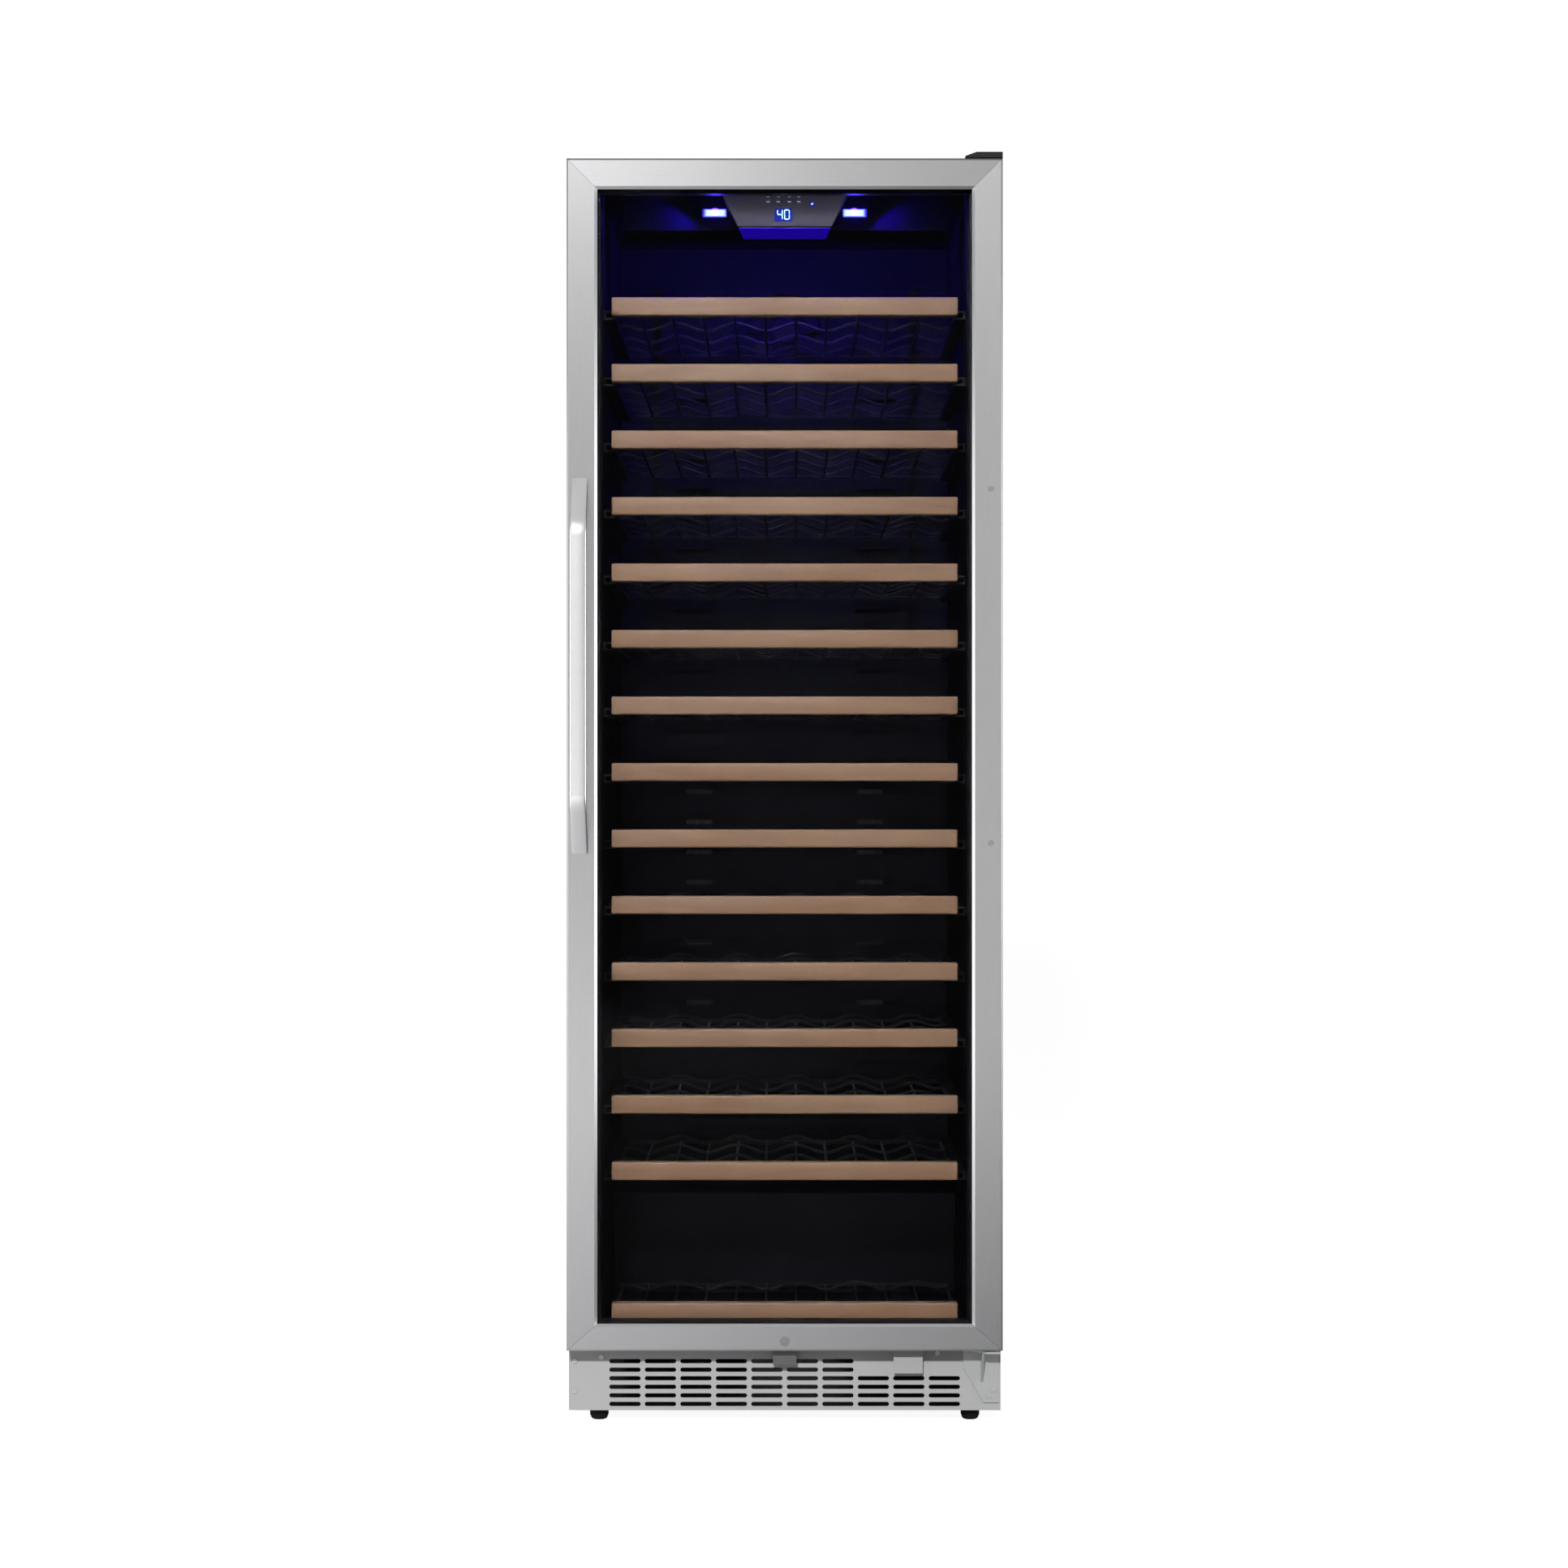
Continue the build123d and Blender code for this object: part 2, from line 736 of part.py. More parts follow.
with BuildPart() as inner_glass:
    slab((-pane_x, pane_x), (inner_front, inner_front + pane), pane_z)
hand_over(inner_glass, "inner_glass")

with BuildPart() as glass_spacer:
    with BuildSketch(at_depth(inner_front)):
        window((-pane_x, pane_x), pane_z)
        window(
            (-window_x - 1.5, window_x + 1.5),
            (window_bottom - 1.5, window_top + 1.5),
            mode=Mode.SUBTRACT,
        )
    extrude(amount=spacer_depth)
hand_over(glass_spacer, "glass_spacer")

with BuildPart() as door_inner_frame:
    bed_front = -282.0
    pane_back = inner_front + pane
    # bed inside the steel channel, around the edge of the glass
    with BuildSketch(at_depth(frame_back)):
        window(
            (-half_width + frame_wall + gap, half_width - frame_wall - gap),
            (door_bottom + frame_wall + gap, door_top - frame_wall - gap),
        )
        window(
            (-pane_x - 2.5, pane_x + 2.5), (pane_z[0] - 2.5, pane_z[1] + 2.5), mode=Mode.SUBTRACT
        )
    extrude(amount=frame_back - bed_front)
    # cover behind the glass
    with BuildSketch(at_depth(inner_frame_back)):
        window((-290, 290), (door_bottom + 2, door_top - 2.5))
        window(
            (-window_x + 2.7, window_x - 2.7),
            (window_bottom + 2.7, window_top - 2.7),
            mode=Mode.SUBTRACT,
        )
    extrude(amount=inner_frame_back - pane_back - gap)
    pin_hole(door_bottom, door_bottom + pin_length)
    pin_hole(door_top - pin_length - 1, door_top)
    with BuildSketch(at_depth(inner_frame_back)):
        with Locations((0, lock_z)):
            Circle(barrel_radius + gap)
    extrude(amount=inner_frame_back - bed_front, mode=Mode.SUBTRACT)
    # pocket for the lock cam, open at the back and below
    slab((-12, 34), (cam_front - 1, inner_frame_back), (door_bottom, 134), mode=Mode.SUBTRACT)
hand_over(door_inner_frame, "door_inner_frame")

with BuildPart() as door_gasket:
    with BuildSketch(at_depth(gasket_back)):
        window((-284, 284), (110, 1726))
        window((-264, 264), (126, 1706), mode=Mode.SUBTRACT)
    extrude(amount=gasket_back - inner_frame_back)
hand_over(door_gasket, "door_gasket")

# ---- handle, lock and small parts on the door ---------------------------------------------
# Flat bar bent into a shallow bow: two sloping legs and a straight grip.
leg_run = handle_rise / (door_front - handle_front)
leg_footprint = handle_bar / math.sin(math.atan(1 / leg_run))
inner_grip = handle_front + handle_bar
inner_rise = leg_run * (door_front - inner_grip)

with BuildPart() as door_handle:
    with BuildSketch(Plane.YZ.offset(handle_x)) as handle_side:
        with BuildLine():
            Polyline(
                (door_front, handle_high),
                (handle_front, handle_high - handle_rise),
                (handle_front, handle_low + handle_rise),
                (door_front, handle_low),
                (door_front, handle_low + leg_footprint),
                (inner_grip, handle_low + leg_footprint + inner_rise),
                (inner_grip, handle_high - leg_footprint - inner_rise),
                (door_front, handle_high - leg_footprint),
                close=True,
            )
        make_face()
        fillet(handle_side.vertices().group_by(Axis.X)[0], 32)
        fillet(handle_side.vertices().filter_by(lambda v: abs(v.X - inner_grip) < 0.1), 20)
    extrude(amount=handle_width / 2, both=True)
    chamfer(door_handle.faces().filter_by(Axis.X).edges(), 0.8)
hand_over(door_handle, "door_handle")

# Two blanking plugs on the hinge side, and two screws that hold the handle from behind.
with BuildPart() as door_screws:
    plugs = [(screw_column, screw_low), (screw_column, screw_high)]
    with BuildSketch(at_depth(door_front)):
        with Locations(*plugs):
            Circle(4)
    extrude(amount=0.8)
    with BuildSketch(at_depth(door_front + 6)):
        with Locations(*plugs):
            Circle(3)
    extrude(amount=6)
    handle_screws = [(-screw_column, screw_low), (-screw_column, screw_high)]
    with BuildSketch(at_depth(door_front + frame_wall + 3)):
        with Locations(*handle_screws):
            Circle(4)
    extrude(amount=3)
    with BuildSketch(at_depth(door_front + frame_wall)):
        with Locations(*handle_screws):
            Circle(2)
    extrude(amount=frame_wall)
hand_over(door_screws, "door_screws")

with BuildPart() as lock_cylinder:
    with BuildSketch(at_depth(door_front)):
        with Locations((0, lock_z)):
            Circle(7)
    extrude(amount=1.2)
    with BuildSketch(at_depth(cam_front - 1)):
        with Locations((0, lock_z)):
            Circle(barrel_radius)
    extrude(amount=cam_front - 1 - door_front)
    with BuildSketch(at_depth(cam_front - 1)):
        with Locations((0, lock_z)):
            Circle(core_radius + gap)
    extrude(amount=40, mode=Mode.SUBTRACT)
hand_over(lock_cylinder, "lock_cylinder")

# Turning core with its keyway and, behind the door skin, the cam that swings down.
with BuildPart() as lock_core:
    with BuildSketch(at_depth(cam_back)):
        with Locations((0, lock_z)):
            Circle(core_radius)
    extrude(amount=cam_back - door_front + 0.6)
    with BuildSketch(at_depth(door_front)):
        with Locations((0, lock_z)):
            Rectangle(1.4, 5)
    extrude(amount=2, mode=Mode.SUBTRACT)
    with BuildSketch(at_depth(cam_back)):
        with Locations((cam_length / 2 - 2, lock_z)):
            SlotOverall(cam_length + 4, 9)
    extrude(amount=cam_back - cam_front)
hand_over(lock_core, "lock_core")

with BuildPart() as door_stop_tab:
    slab((149.5, 189.5), (-284, -259), (door_bottom - 1.6, door_bottom))
    slab((149.5, 189.5), (-260.6, -259), (71, door_bottom))
hand_over(door_stop_tab, "door_stop_tab")

# ---- shelves ------------------------------------------------------------------------------
shelf_heights = [top_shelf_z - shelf_pitch * i for i in range(shelf_count)]

with BuildPart() as shelf_rails:
    with BuildSketch(at_depth(rail_back)):
        for z in shelf_heights:
            for side in (-1, 1):
                web = sorted((side * (liner_x - 2.5), side * liner_x))
                run = sorted((side * (liner_x - 15), side * liner_x))
                window(web, (z - 15, z - 3))
                window(run, (z - 15, z - 12.5))
                window(run, (z - 5.5, z - 3))
    extrude(amount=rail_back - rail_front)
hand_over(shelf_rails, "shelf_rails")

with BuildPart() as wood_front:
    slab((-front_x, front_x), (front_face, front_back), (-front_height / 2, front_height / 2))
    fillet(wood_front.faces().sort_by(Axis.Y)[0].edges(), 3)


def wire_rack(back, cross_rods):
    """Welded rack behind a wood front, at its height below the front's middle."""
    with BuildSketch(at_depth(back)) as long_rods:
        with Locations((-side_rod_x, -rod_drop), (side_rod_x, -rod_drop)):
            Circle(3)
        with Locations((0, -rod_drop)):
            with GridLocations(wire_pitch, 1, 11, 1):
                Circle(2)
    extrude(long_rods.sketch, amount=back - front_back)
    with BuildSketch(Plane.YZ.offset(-side_rod_x)) as across:
        with Locations(*((y, -rod_drop) for y in cross_rods)):
            Circle(2.5)
    extrude(across.sketch, amount=2 * side_rod_x)


with BuildPart() as rack:
    wire_rack(rack_back, (-190, 25, rack_back - 3))

for number, z in enumerate(shelf_heights, start=1):
    with BuildPart() as shelf:
        with Locations((0, 0, z)):
            add(wood_front.part)
            add(rack.part)
    hand_over(shelf, f"shelf_{number:02d}")

# Fixed rack on the floor of the liner, with the same wood front and four short legs.
with BuildPart() as floor_rack:
    with Locations((0, 0, floor_shelf_z)):
        add(wood_front.part)
with BuildPart() as floor_wires:
    wire_rack(85, (-190, 82))
    legs = [(x, y, -rod_drop) for x in (-side_rod_x, side_rod_x) for y in (-190, 82)]
    with Locations(*legs):
        Cylinder(
            2.5,
            floor_shelf_z - rod_drop - liner_bottom,
            align=(Align.CENTER, Align.CENTER, Align.MAX),
        )
with floor_rack:
    with Locations((0, 0, floor_shelf_z)):
        add(floor_wires.part)
hand_over(floor_rack, "floor_rack")
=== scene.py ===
import json
import math

import bmesh
import bpy
import numpy as np
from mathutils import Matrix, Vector


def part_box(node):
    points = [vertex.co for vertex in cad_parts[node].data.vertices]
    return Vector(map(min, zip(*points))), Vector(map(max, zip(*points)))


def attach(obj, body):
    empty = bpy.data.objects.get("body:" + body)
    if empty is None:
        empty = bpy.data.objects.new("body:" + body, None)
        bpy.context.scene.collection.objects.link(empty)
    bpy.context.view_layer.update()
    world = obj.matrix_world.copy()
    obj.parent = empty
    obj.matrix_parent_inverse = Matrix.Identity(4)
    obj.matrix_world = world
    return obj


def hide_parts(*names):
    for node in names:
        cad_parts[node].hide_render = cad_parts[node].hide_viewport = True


# Tall wine cooler: studio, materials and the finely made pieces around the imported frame.
# Lengths are in metres. X runs to the right, Y from the door to the back, Z up.

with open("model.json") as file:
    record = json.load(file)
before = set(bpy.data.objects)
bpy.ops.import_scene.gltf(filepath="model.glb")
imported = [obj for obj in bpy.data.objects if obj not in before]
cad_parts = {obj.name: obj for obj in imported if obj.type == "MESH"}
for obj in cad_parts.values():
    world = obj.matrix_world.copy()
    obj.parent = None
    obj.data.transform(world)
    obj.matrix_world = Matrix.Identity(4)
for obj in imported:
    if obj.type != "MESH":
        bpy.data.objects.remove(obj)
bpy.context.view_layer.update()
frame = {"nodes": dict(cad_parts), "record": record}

MM = 0.001
LEAST_CORNER = 0.6 * MM
SHARP_EDGE = math.radians(40)
DOOR_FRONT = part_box("door_top_rail")[0][1]
DOOR_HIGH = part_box("door_top_rail")[1][2]
DOOR_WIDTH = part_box("door_top_rail")[1][0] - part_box("door_top_rail")[0][0]


# ---- mesh helpers -------------------------------------------------------------------------
def as_array(points):
    return np.asarray(points, dtype=float)


def grid_quads(rows, columns, wrap_rows=False, wrap_columns=False):
    """Quads of a rows by columns grid of points, with either direction closed on itself."""
    row = np.arange(rows if wrap_rows else rows - 1)
    column = np.arange(columns if wrap_columns else columns - 1)
    r, c = np.meshgrid(row, column, indexing="ij")
    r2, c2 = (r + 1) % rows, (c + 1) % columns
    quads = np.stack([r * columns + c, r * columns + c2, r2 * columns + c2, r2 * columns + c], -1)
    return quads.reshape(-1, 4)


def closed_tube(rings):
    """A closed surface from rings of points (ring, point, xyz), with a centre point at each end."""
    count, sides, _ = rings.shape
    points = rings.reshape(-1, 3)
    quads = grid_quads(count, sides, wrap_columns=True)
    middle = np.stack([rings[0].mean(0), rings[-1].mean(0)])
    first, last = len(points), len(points) + 1
    here = np.arange(sides)
    after = (here + 1) % sides
    start = np.stack([np.full(sides, first), after, here], -1)
    tail = (count - 1) * sides
    end = np.stack([np.full(sides, last), here + tail, after + tail], -1)
    faces = [tuple(f) for f in quads] + [tuple(f) for f in start] + [tuple(f) for f in end]
    return np.vstack([points, middle]), faces


def wire(path, radius, sides=8):
    """A round wire: a circle of the radius carried along the path, square to its direction."""
    path = as_array(path)
    ahead = np.gradient(path, axis=0)
    ahead /= np.linalg.norm(ahead, axis=1, keepdims=True)
    helper = np.where(np.abs(ahead[:, 2:3]) > 0.9, [[1.0, 0, 0]], [[0, 0, 1.0]])
    across = np.cross(helper, ahead)
    across /= np.linalg.norm(across, axis=1, keepdims=True)
    up = np.cross(ahead, across)
    turn = np.linspace(0, 2 * np.pi, sides, endpoint=False)
    ring = np.cos(turn)[None, :, None] * across[:, None] + np.sin(turn)[None, :, None] * up[:, None]
    return closed_tube(path[:, None] + radius * ring)


def rod(start, end, radius, sides):
    """A straight wire with a middle point between its ends."""
    start, end = as_array(start), as_array(end)
    return wire([start, (start + end) / 2, end], radius, sides)


def rounded_outline(half_x, half_y, radius, steps=5):
    """Outline of a rectangle with round corners, counter-clockwise, centred on zero."""
    turn = np.linspace(0, np.pi / 2, steps)
    arcs = []
    for k, (sx, sy) in enumerate(((1, 1), (-1, 1), (-1, -1), (1, -1))):
        angle = turn + k * np.pi / 2
        centre = np.array([sx * (half_x - radius), sy * (half_y - radius)])
        arcs.append(centre + radius * np.stack([np.cos(angle), np.sin(angle)], -1))
    return np.vstack(arcs)


def rounded_block(low, high, radius, steps=5):
    """A block with all its edges round: rounded outlines in YZ, drawn in at both X ends."""
    low, high = as_array(low), as_array(high)
    middle, half = (low + high) / 2, (high - low) / 2
    turn = np.linspace(0, np.pi / 2, steps)
    inset = radius * (1 - np.sin(turn))
    # from the flat end to the full section; the two ends mirror each other
    shrink = np.concatenate([inset, inset[::-1]])
    along = half[0] - radius + radius * np.cos(turn)
    stations = np.concatenate([-along, along[::-1]])
    rings = []
    for x, s in zip(stations, shrink):
        outline = rounded_outline(half[1] - s, half[2] - s, max(radius - s, radius * 0.08), steps)
        rings.append(np.column_stack([np.full(len(outline), x), outline]) + middle)
    return closed_tube(np.array(rings))


def ring_around(section, half_x, low_z, high_z, corner, steps=6):
    """A picture-frame ring: each section point (inward, y) becomes a rounded rectangle."""
    loops = []
    middle_z = (low_z + high_z) / 2
    for inward, y in section:
        width, tall = half_x - inward, (high_z - low_z) / 2 - inward
        outline = rounded_outline(width, tall, max(corner - inward, LEAST_CORNER), steps)
        loops.append(np.column_stack([outline[:, 0], np.full(len(outline), y), outline[:, 1] + middle_z]))
    loops = np.array(loops)
    faces = grid_quads(len(loops), loops.shape[1], wrap_rows=True, wrap_columns=True)
    return loops.reshape(-1, 3), [tuple(f) for f in faces]


def lathe(profile, centre, outward, sides=32):
    """A turned solid: each profile point (radius, height along outward) swept round the axis."""
    outward = as_array(outward) / np.linalg.norm(outward)
    helper = np.array([1.0, 0, 0]) if abs(outward[0]) < 0.9 else np.array([0, 0, 1.0])
    across = np.cross(helper, outward)
    across /= np.linalg.norm(across)
    side = np.cross(outward, across)
    turn = np.linspace(0, 2 * np.pi, sides, endpoint=False)
    circle = np.cos(turn)[:, None] * across + np.sin(turn)[:, None] * side
    profile = as_array(profile)
    rings = profile[:, 0][:, None, None] * circle[None] + profile[:, 1][:, None, None] * outward
    return closed_tube(rings + as_array(centre))


def merged(shapes):
    """Several (points, faces) shapes as one."""
    points, faces, offset = [], [], 0
    for p, f in shapes:
        points.append(p)
        faces.extend(tuple(int(i) + offset for i in face) for face in f)
        offset += len(p)
    return np.vstack(points), faces


def piece(name, shape, material, body, smooth=True, replaces=()):
    """Make a mesh object at the origin from a shape and let it ride on a body."""
    points, faces = shape
    mesh = bpy.data.meshes.new(name)
    mesh.from_pydata(points.tolist(), [], [tuple(int(i) for i in f) for f in faces])
    mesh.validate()
    flip_if_inside_out(mesh)
    mesh.polygons.foreach_set("use_smooth", [smooth] * len(mesh.polygons))
    mesh.materials.append(material)
    made = bpy.data.objects.new(name, mesh)
    bpy.context.scene.collection.objects.link(made)
    if smooth:
        made.modifiers.new("edges", "EDGE_SPLIT").split_angle = SHARP_EDGE
    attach(made, body)
    if replaces:
        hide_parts(*replaces)
    return made


def flip_if_inside_out(mesh):
    """Give every connected shell of the mesh outward faces."""
    work = bmesh.new()
    work.from_mesh(mesh)
    bmesh.ops.recalc_face_normals(work, faces=work.faces)
    work.to_mesh(mesh)
    work.free()


# ---- shader node groups -------------------------------------------------------------------
def new_group(name, inputs, outputs):
    """An empty shader group with named inputs (name, type, default) and outputs."""
    group = bpy.data.node_groups.new(name, "ShaderNodeTree")
    for label, kind, value in inputs:
        socket = group.interface.new_socket(label, in_out="INPUT", socket_type=kind)
        socket.default_value = value
    for label, kind in outputs:
        group.interface.new_socket(label, in_out="OUTPUT", socket_type=kind)
    return group, group.nodes.new("NodeGroupInput"), group.nodes.new("NodeGroupOutput")


def feed(tree, socket, value):
    """Link a socket to another one's output, or give it a plain value."""
    if isinstance(value, bpy.types.NodeSocket):
        tree.links.new(value, socket)
    else:
        socket.default_value = value


def node(tree, kind, **values):
    """Add a node; values set its properties, or feed its inputs when the key names one."""
    made = tree.nodes.new(kind)
    for key, value in values.items():
        if hasattr(made, key):
            setattr(made, key, value)
        else:
            feed(tree, made.inputs[key.replace("_", " ")], value)
    return made


def object_place(tree):
    """The point being shaded, in object coordinates."""
    return node(tree, "ShaderNodeTexCoord").outputs["Object"]


def split_place(tree):
    """The same point's three coordinates, by name."""
    return node(tree, "ShaderNodeSeparateXYZ", Vector=object_place(tree)).outputs


def drawn_out(tree, place, scale):
    """A place scaled by a different amount along each axis."""
    return node(tree, "ShaderNodeMapping", Vector=place, Scale=scale).outputs["Vector"]


def noise(tree, place, **values):
    """Noise over a place, about one half."""
    return node(tree, "ShaderNodeTexNoise", Vector=place, **values).outputs["Fac"]


def maths(tree, operation, *values):
    """Result of a math node over sockets or plain numbers."""
    made = node(tree, "ShaderNodeMath", operation=operation)
    for socket, value in zip(made.inputs, values):
        feed(tree, socket, value)
    return made.outputs[0]


def scaled(tree, vector, factor):
    """A colour or vector times a number."""
    made = node(tree, "ShaderNodeVectorMath", operation="SCALE", Scale=factor)
    feed(tree, made.inputs[0], vector)
    return made.outputs["Vector"]


def mixed(tree, factor, first, second, blend="MIX"):
    """Two colours mixed by a factor."""
    made = node(tree, "ShaderNodeMix", data_type="RGBA", blend_type=blend)
    # sockets 0, 6 and 7 hold the factor and the two colours
    for index, value in ((0, factor), (6, first), (7, second)):
        feed(tree, made.inputs[index], value)
    return made.outputs[2]


def ranged(tree, value, low, high, to_low=0.0, to_high=1.0, kind="LINEAR"):
    """A value mapped from low..high to to_low..to_high, and held at both ends."""
    made = node(
        tree, "ShaderNodeMapRange", interpolation_type=kind,
        Value=value, From_Min=low, From_Max=high, To_Min=to_low, To_Max=to_high,
    )
    return made.outputs["Result"]


def normal_from(tree, height, strength, distance):
    """Bump normal from a height."""
    made = node(tree, "ShaderNodeBump", Height=height, Strength=strength, Distance=distance)
    return made.outputs["Normal"]


COLOUR, NUMBER, VECTOR = "NodeSocketColor", "NodeSocketFloat", "NodeSocketVector"
BROAD_SHARE = 0.35
SIDE_BAND = 2.2 * MM
TOP_BAND = 4.0 * MM


def make_brushed_group():
    """Brushed metal: noise drawn out along the grain shifts colour, roughness and height."""
    tree, given, out = new_group(
        "brushed_grain",
        [
            ("Color", COLOUR, (0.6, 0.6, 0.6, 1)),
            ("Grain", VECTOR, (1, 1, 1)),
            ("Contrast", NUMBER, 0.1),
            ("Roughness", NUMBER, 0.3),
            ("Bump", NUMBER, 0.1),
        ],
        [("Color", COLOUR), ("Roughness", NUMBER), ("Normal", VECTOR)],
    )
    given, out = given.outputs, out.inputs
    place = object_place(tree)
    drawn = node(tree, "ShaderNodeVectorMath", operation="MULTIPLY")
    feed(tree, drawn.inputs[0], place)
    feed(tree, drawn.inputs[1], given["Grain"])
    fine = noise(tree, drawn.outputs["Vector"], Scale=1.0, Detail=6.0, Roughness=0.65)
    broad = noise(tree, place, Scale=2.2, Detail=2.0)
    both = maths(tree, "MULTIPLY_ADD", broad, BROAD_SHARE, fine)
    centred = maths(tree, "SUBTRACT", both, (1 + BROAD_SHARE) / 2)
    shift = maths(tree, "MULTIPLY", centred, given["Contrast"])
    feed(tree, out["Color"], scaled(tree, given["Color"], maths(tree, "ADD", shift, 1.0)))
    feed(tree, out["Roughness"], maths(tree, "MULTIPLY_ADD", shift, 0.8, given["Roughness"]))
    feed(tree, out["Normal"], normal_from(tree, fine, given["Bump"], 0.2 * MM))
    return tree


def make_moulded_group():
    """Moulded or painted surface: fine pebble bump, slow tone drift and a little dust."""
    tree, given, out = new_group(
        "moulded_surface",
        [
            ("Color", COLOUR, (0.02, 0.02, 0.02, 1)),
            ("Dust", COLOUR, (0.1, 0.1, 0.1, 1)),
            ("Dust Amount", NUMBER, 0.05),
            ("Pebble", NUMBER, 900.0),
            ("Roughness", NUMBER, 0.5),
            ("Bump", NUMBER, 0.1),
        ],
        [("Color", COLOUR), ("Roughness", NUMBER), ("Normal", VECTOR)],
    )
    given, out = given.outputs, out.inputs
    place = object_place(tree)
    pebble = noise(tree, place, Scale=given["Pebble"], Detail=3.0)
    drift = noise(tree, place, Scale=9.0, Detail=5.0, Roughness=0.6)
    amount = maths(tree, "MULTIPLY", ranged(tree, drift, 0.4, 0.75), given["Dust Amount"])
    feed(tree, out["Color"], mixed(tree, amount, given["Color"], given["Dust"]))
    feed(tree, out["Roughness"], maths(tree, "MULTIPLY_ADD", drift, 0.16, given["Roughness"]))
    feed(tree, out["Normal"], normal_from(tree, pebble, given["Bump"], 0.3 * MM))
    return tree


def make_edge_shade_group():
    """Painted edge shade: the tone falls in a narrow band along the sides and the top."""
    tree, given, out = new_group(
        "painted_edge_shade",
        [
            ("Color", COLOUR, (0.6, 0.6, 0.6, 1)),
            ("Half Width", NUMBER, 0.3),
            ("Top", NUMBER, 1.7),
            ("Side Shade", NUMBER, 0.3),
            ("Top Shade", NUMBER, 0.5),
        ],
        [("Color", COLOUR)],
    )
    given = given.outputs
    parts = split_place(tree)
    shades = []
    for edge, position, band, label in (
        ("Half Width", maths(tree, "ABSOLUTE", parts["X"]), SIDE_BAND, "Side Shade"),
        ("Top", parts["Z"], TOP_BAND, "Top Shade"),
    ):
        inside = maths(tree, "SUBTRACT", given[edge], position)
        ramp = ranged(tree, inside, band, band * 0.6, kind="SMOOTHSTEP")
        shades.append(maths(tree, "MULTIPLY", ramp, given[label]))
    keep = maths(tree, "SUBTRACT", 1.0, maths(tree, "MAXIMUM", *shades))
    feed(tree, out.inputs["Color"], scaled(tree, given["Color"], keep))
    return tree


BRUSHED = make_brushed_group()
MOULDED = make_moulded_group()
EDGE_SHADE = make_edge_shade_group()


def new_material(name):
    """A material with its tree and the inputs of its Principled shader."""
    material = bpy.data.materials.new(name)
    material.use_nodes = True
    tree = material.node_tree
    return material, tree, tree.nodes["Principled BSDF"].inputs


def place_group(tree, group, **values):
    """Add a node group and feed its inputs."""
    placed = tree.nodes.new("ShaderNodeGroup")
    placed.node_tree = group
    for key, value in values.items():
        feed(tree, placed.inputs[key.replace("_", " ")], value)
    return placed.outputs


def surface_from(tree, group, inputs, **values):
    """Feed a Principled shader's colour, roughness and normal from a group."""
    made = place_group(tree, group, **values)
    for label, source in (("Base Color", "Color"), ("Roughness", "Roughness"), ("Normal", "Normal")):
        feed(tree, inputs[label], made[source])


def brushed(name, tone, grain, roughness=0.32, contrast=0.18, bump=0.12, metallic=1.0):
    """Brushed steel with its grain drawn out along one axis."""
    material, tree, inputs = new_material(name)
    inputs["Metallic"].default_value = metallic
    surface_from(
        tree, BRUSHED, inputs,
        Color=(*tone, 1), Grain=grain, Contrast=contrast, Roughness=roughness, Bump=bump,
    )
    return material


def stretch_highlight(material, axis, amount=0.7):
    """Draw highlights out across the grain: the tangent runs round the given axis."""
    tree = material.node_tree
    shader = tree.nodes["Principled BSDF"]
    shader.inputs["Anisotropic"].default_value = amount
    tangent = node(tree, "ShaderNodeTangent", direction_type="RADIAL", axis=axis)
    feed(tree, shader.inputs["Tangent"], tangent.outputs["Tangent"])


def paint_edge_shade(material, side, top):
    """Put the painted edge shade group between a door frame's grain colour and its shader."""
    tree = material.node_tree
    colour = tree.nodes["Principled BSDF"].inputs["Base Color"]
    made = place_group(
        tree, EDGE_SHADE, Color=colour.links[0].from_socket,
        Half_Width=DOOR_WIDTH / 2, Top=DOOR_HIGH, Side_Shade=side, Top_Shade=top,
    )
    feed(tree, colour, made["Color"])


def moulded(name, tone, roughness=0.45, pebble=900.0, bump=0.15, dust=0.04, sheen=0.5):
    """Plastic, rubber or paint with a fine moulded surface; sheen is its specular level."""
    material, tree, inputs = new_material(name)
    inputs["Specular IOR Level"].default_value = sheen
    pale = tuple(min(1.0, c * 1.5 + 0.03) for c in tone)
    surface_from(
        tree, MOULDED, inputs,
        Color=(*tone, 1), Dust=(*pale, 1), Dust_Amount=dust, Pebble=pebble,
        Roughness=roughness, Bump=bump,
    )
    return material


def make_glass(name, tint, gloss, roughness=0.01):
    """Clear or tinted pane; light from the room reaches the inside through it."""
    material, tree, inputs = new_material(name)
    shader = tree.nodes["Principled BSDF"]
    inputs["Base Color"].default_value = (*tint, 1)
    inputs["Transmission Weight"].default_value = 1.0
    inputs["IOR"].default_value = 1.5
    inputs["Specular Tint"].default_value = (gloss, gloss, gloss, 1)
    smear = noise(tree, object_place(tree), Scale=5.0, Detail=4.0)
    feed(tree, inputs["Roughness"], maths(tree, "MULTIPLY", smear, 2 * roughness))
    # a shadow ray meets two faces of a pane, so each takes the square root of the tint
    clear = node(tree, "ShaderNodeBsdfTransparent", Color=(*(math.sqrt(c) for c in tint), 1))
    mix = node(tree, "ShaderNodeMixShader")
    rays = node(tree, "ShaderNodeLightPath").outputs["Is Shadow Ray"]
    for socket, source in zip(mix.inputs, (rays, shader.outputs["BSDF"], clear.outputs["BSDF"])):
        feed(tree, socket, source)
    feed(tree, tree.nodes["Material Output"].inputs["Surface"], mix.outputs["Shader"])
    return material


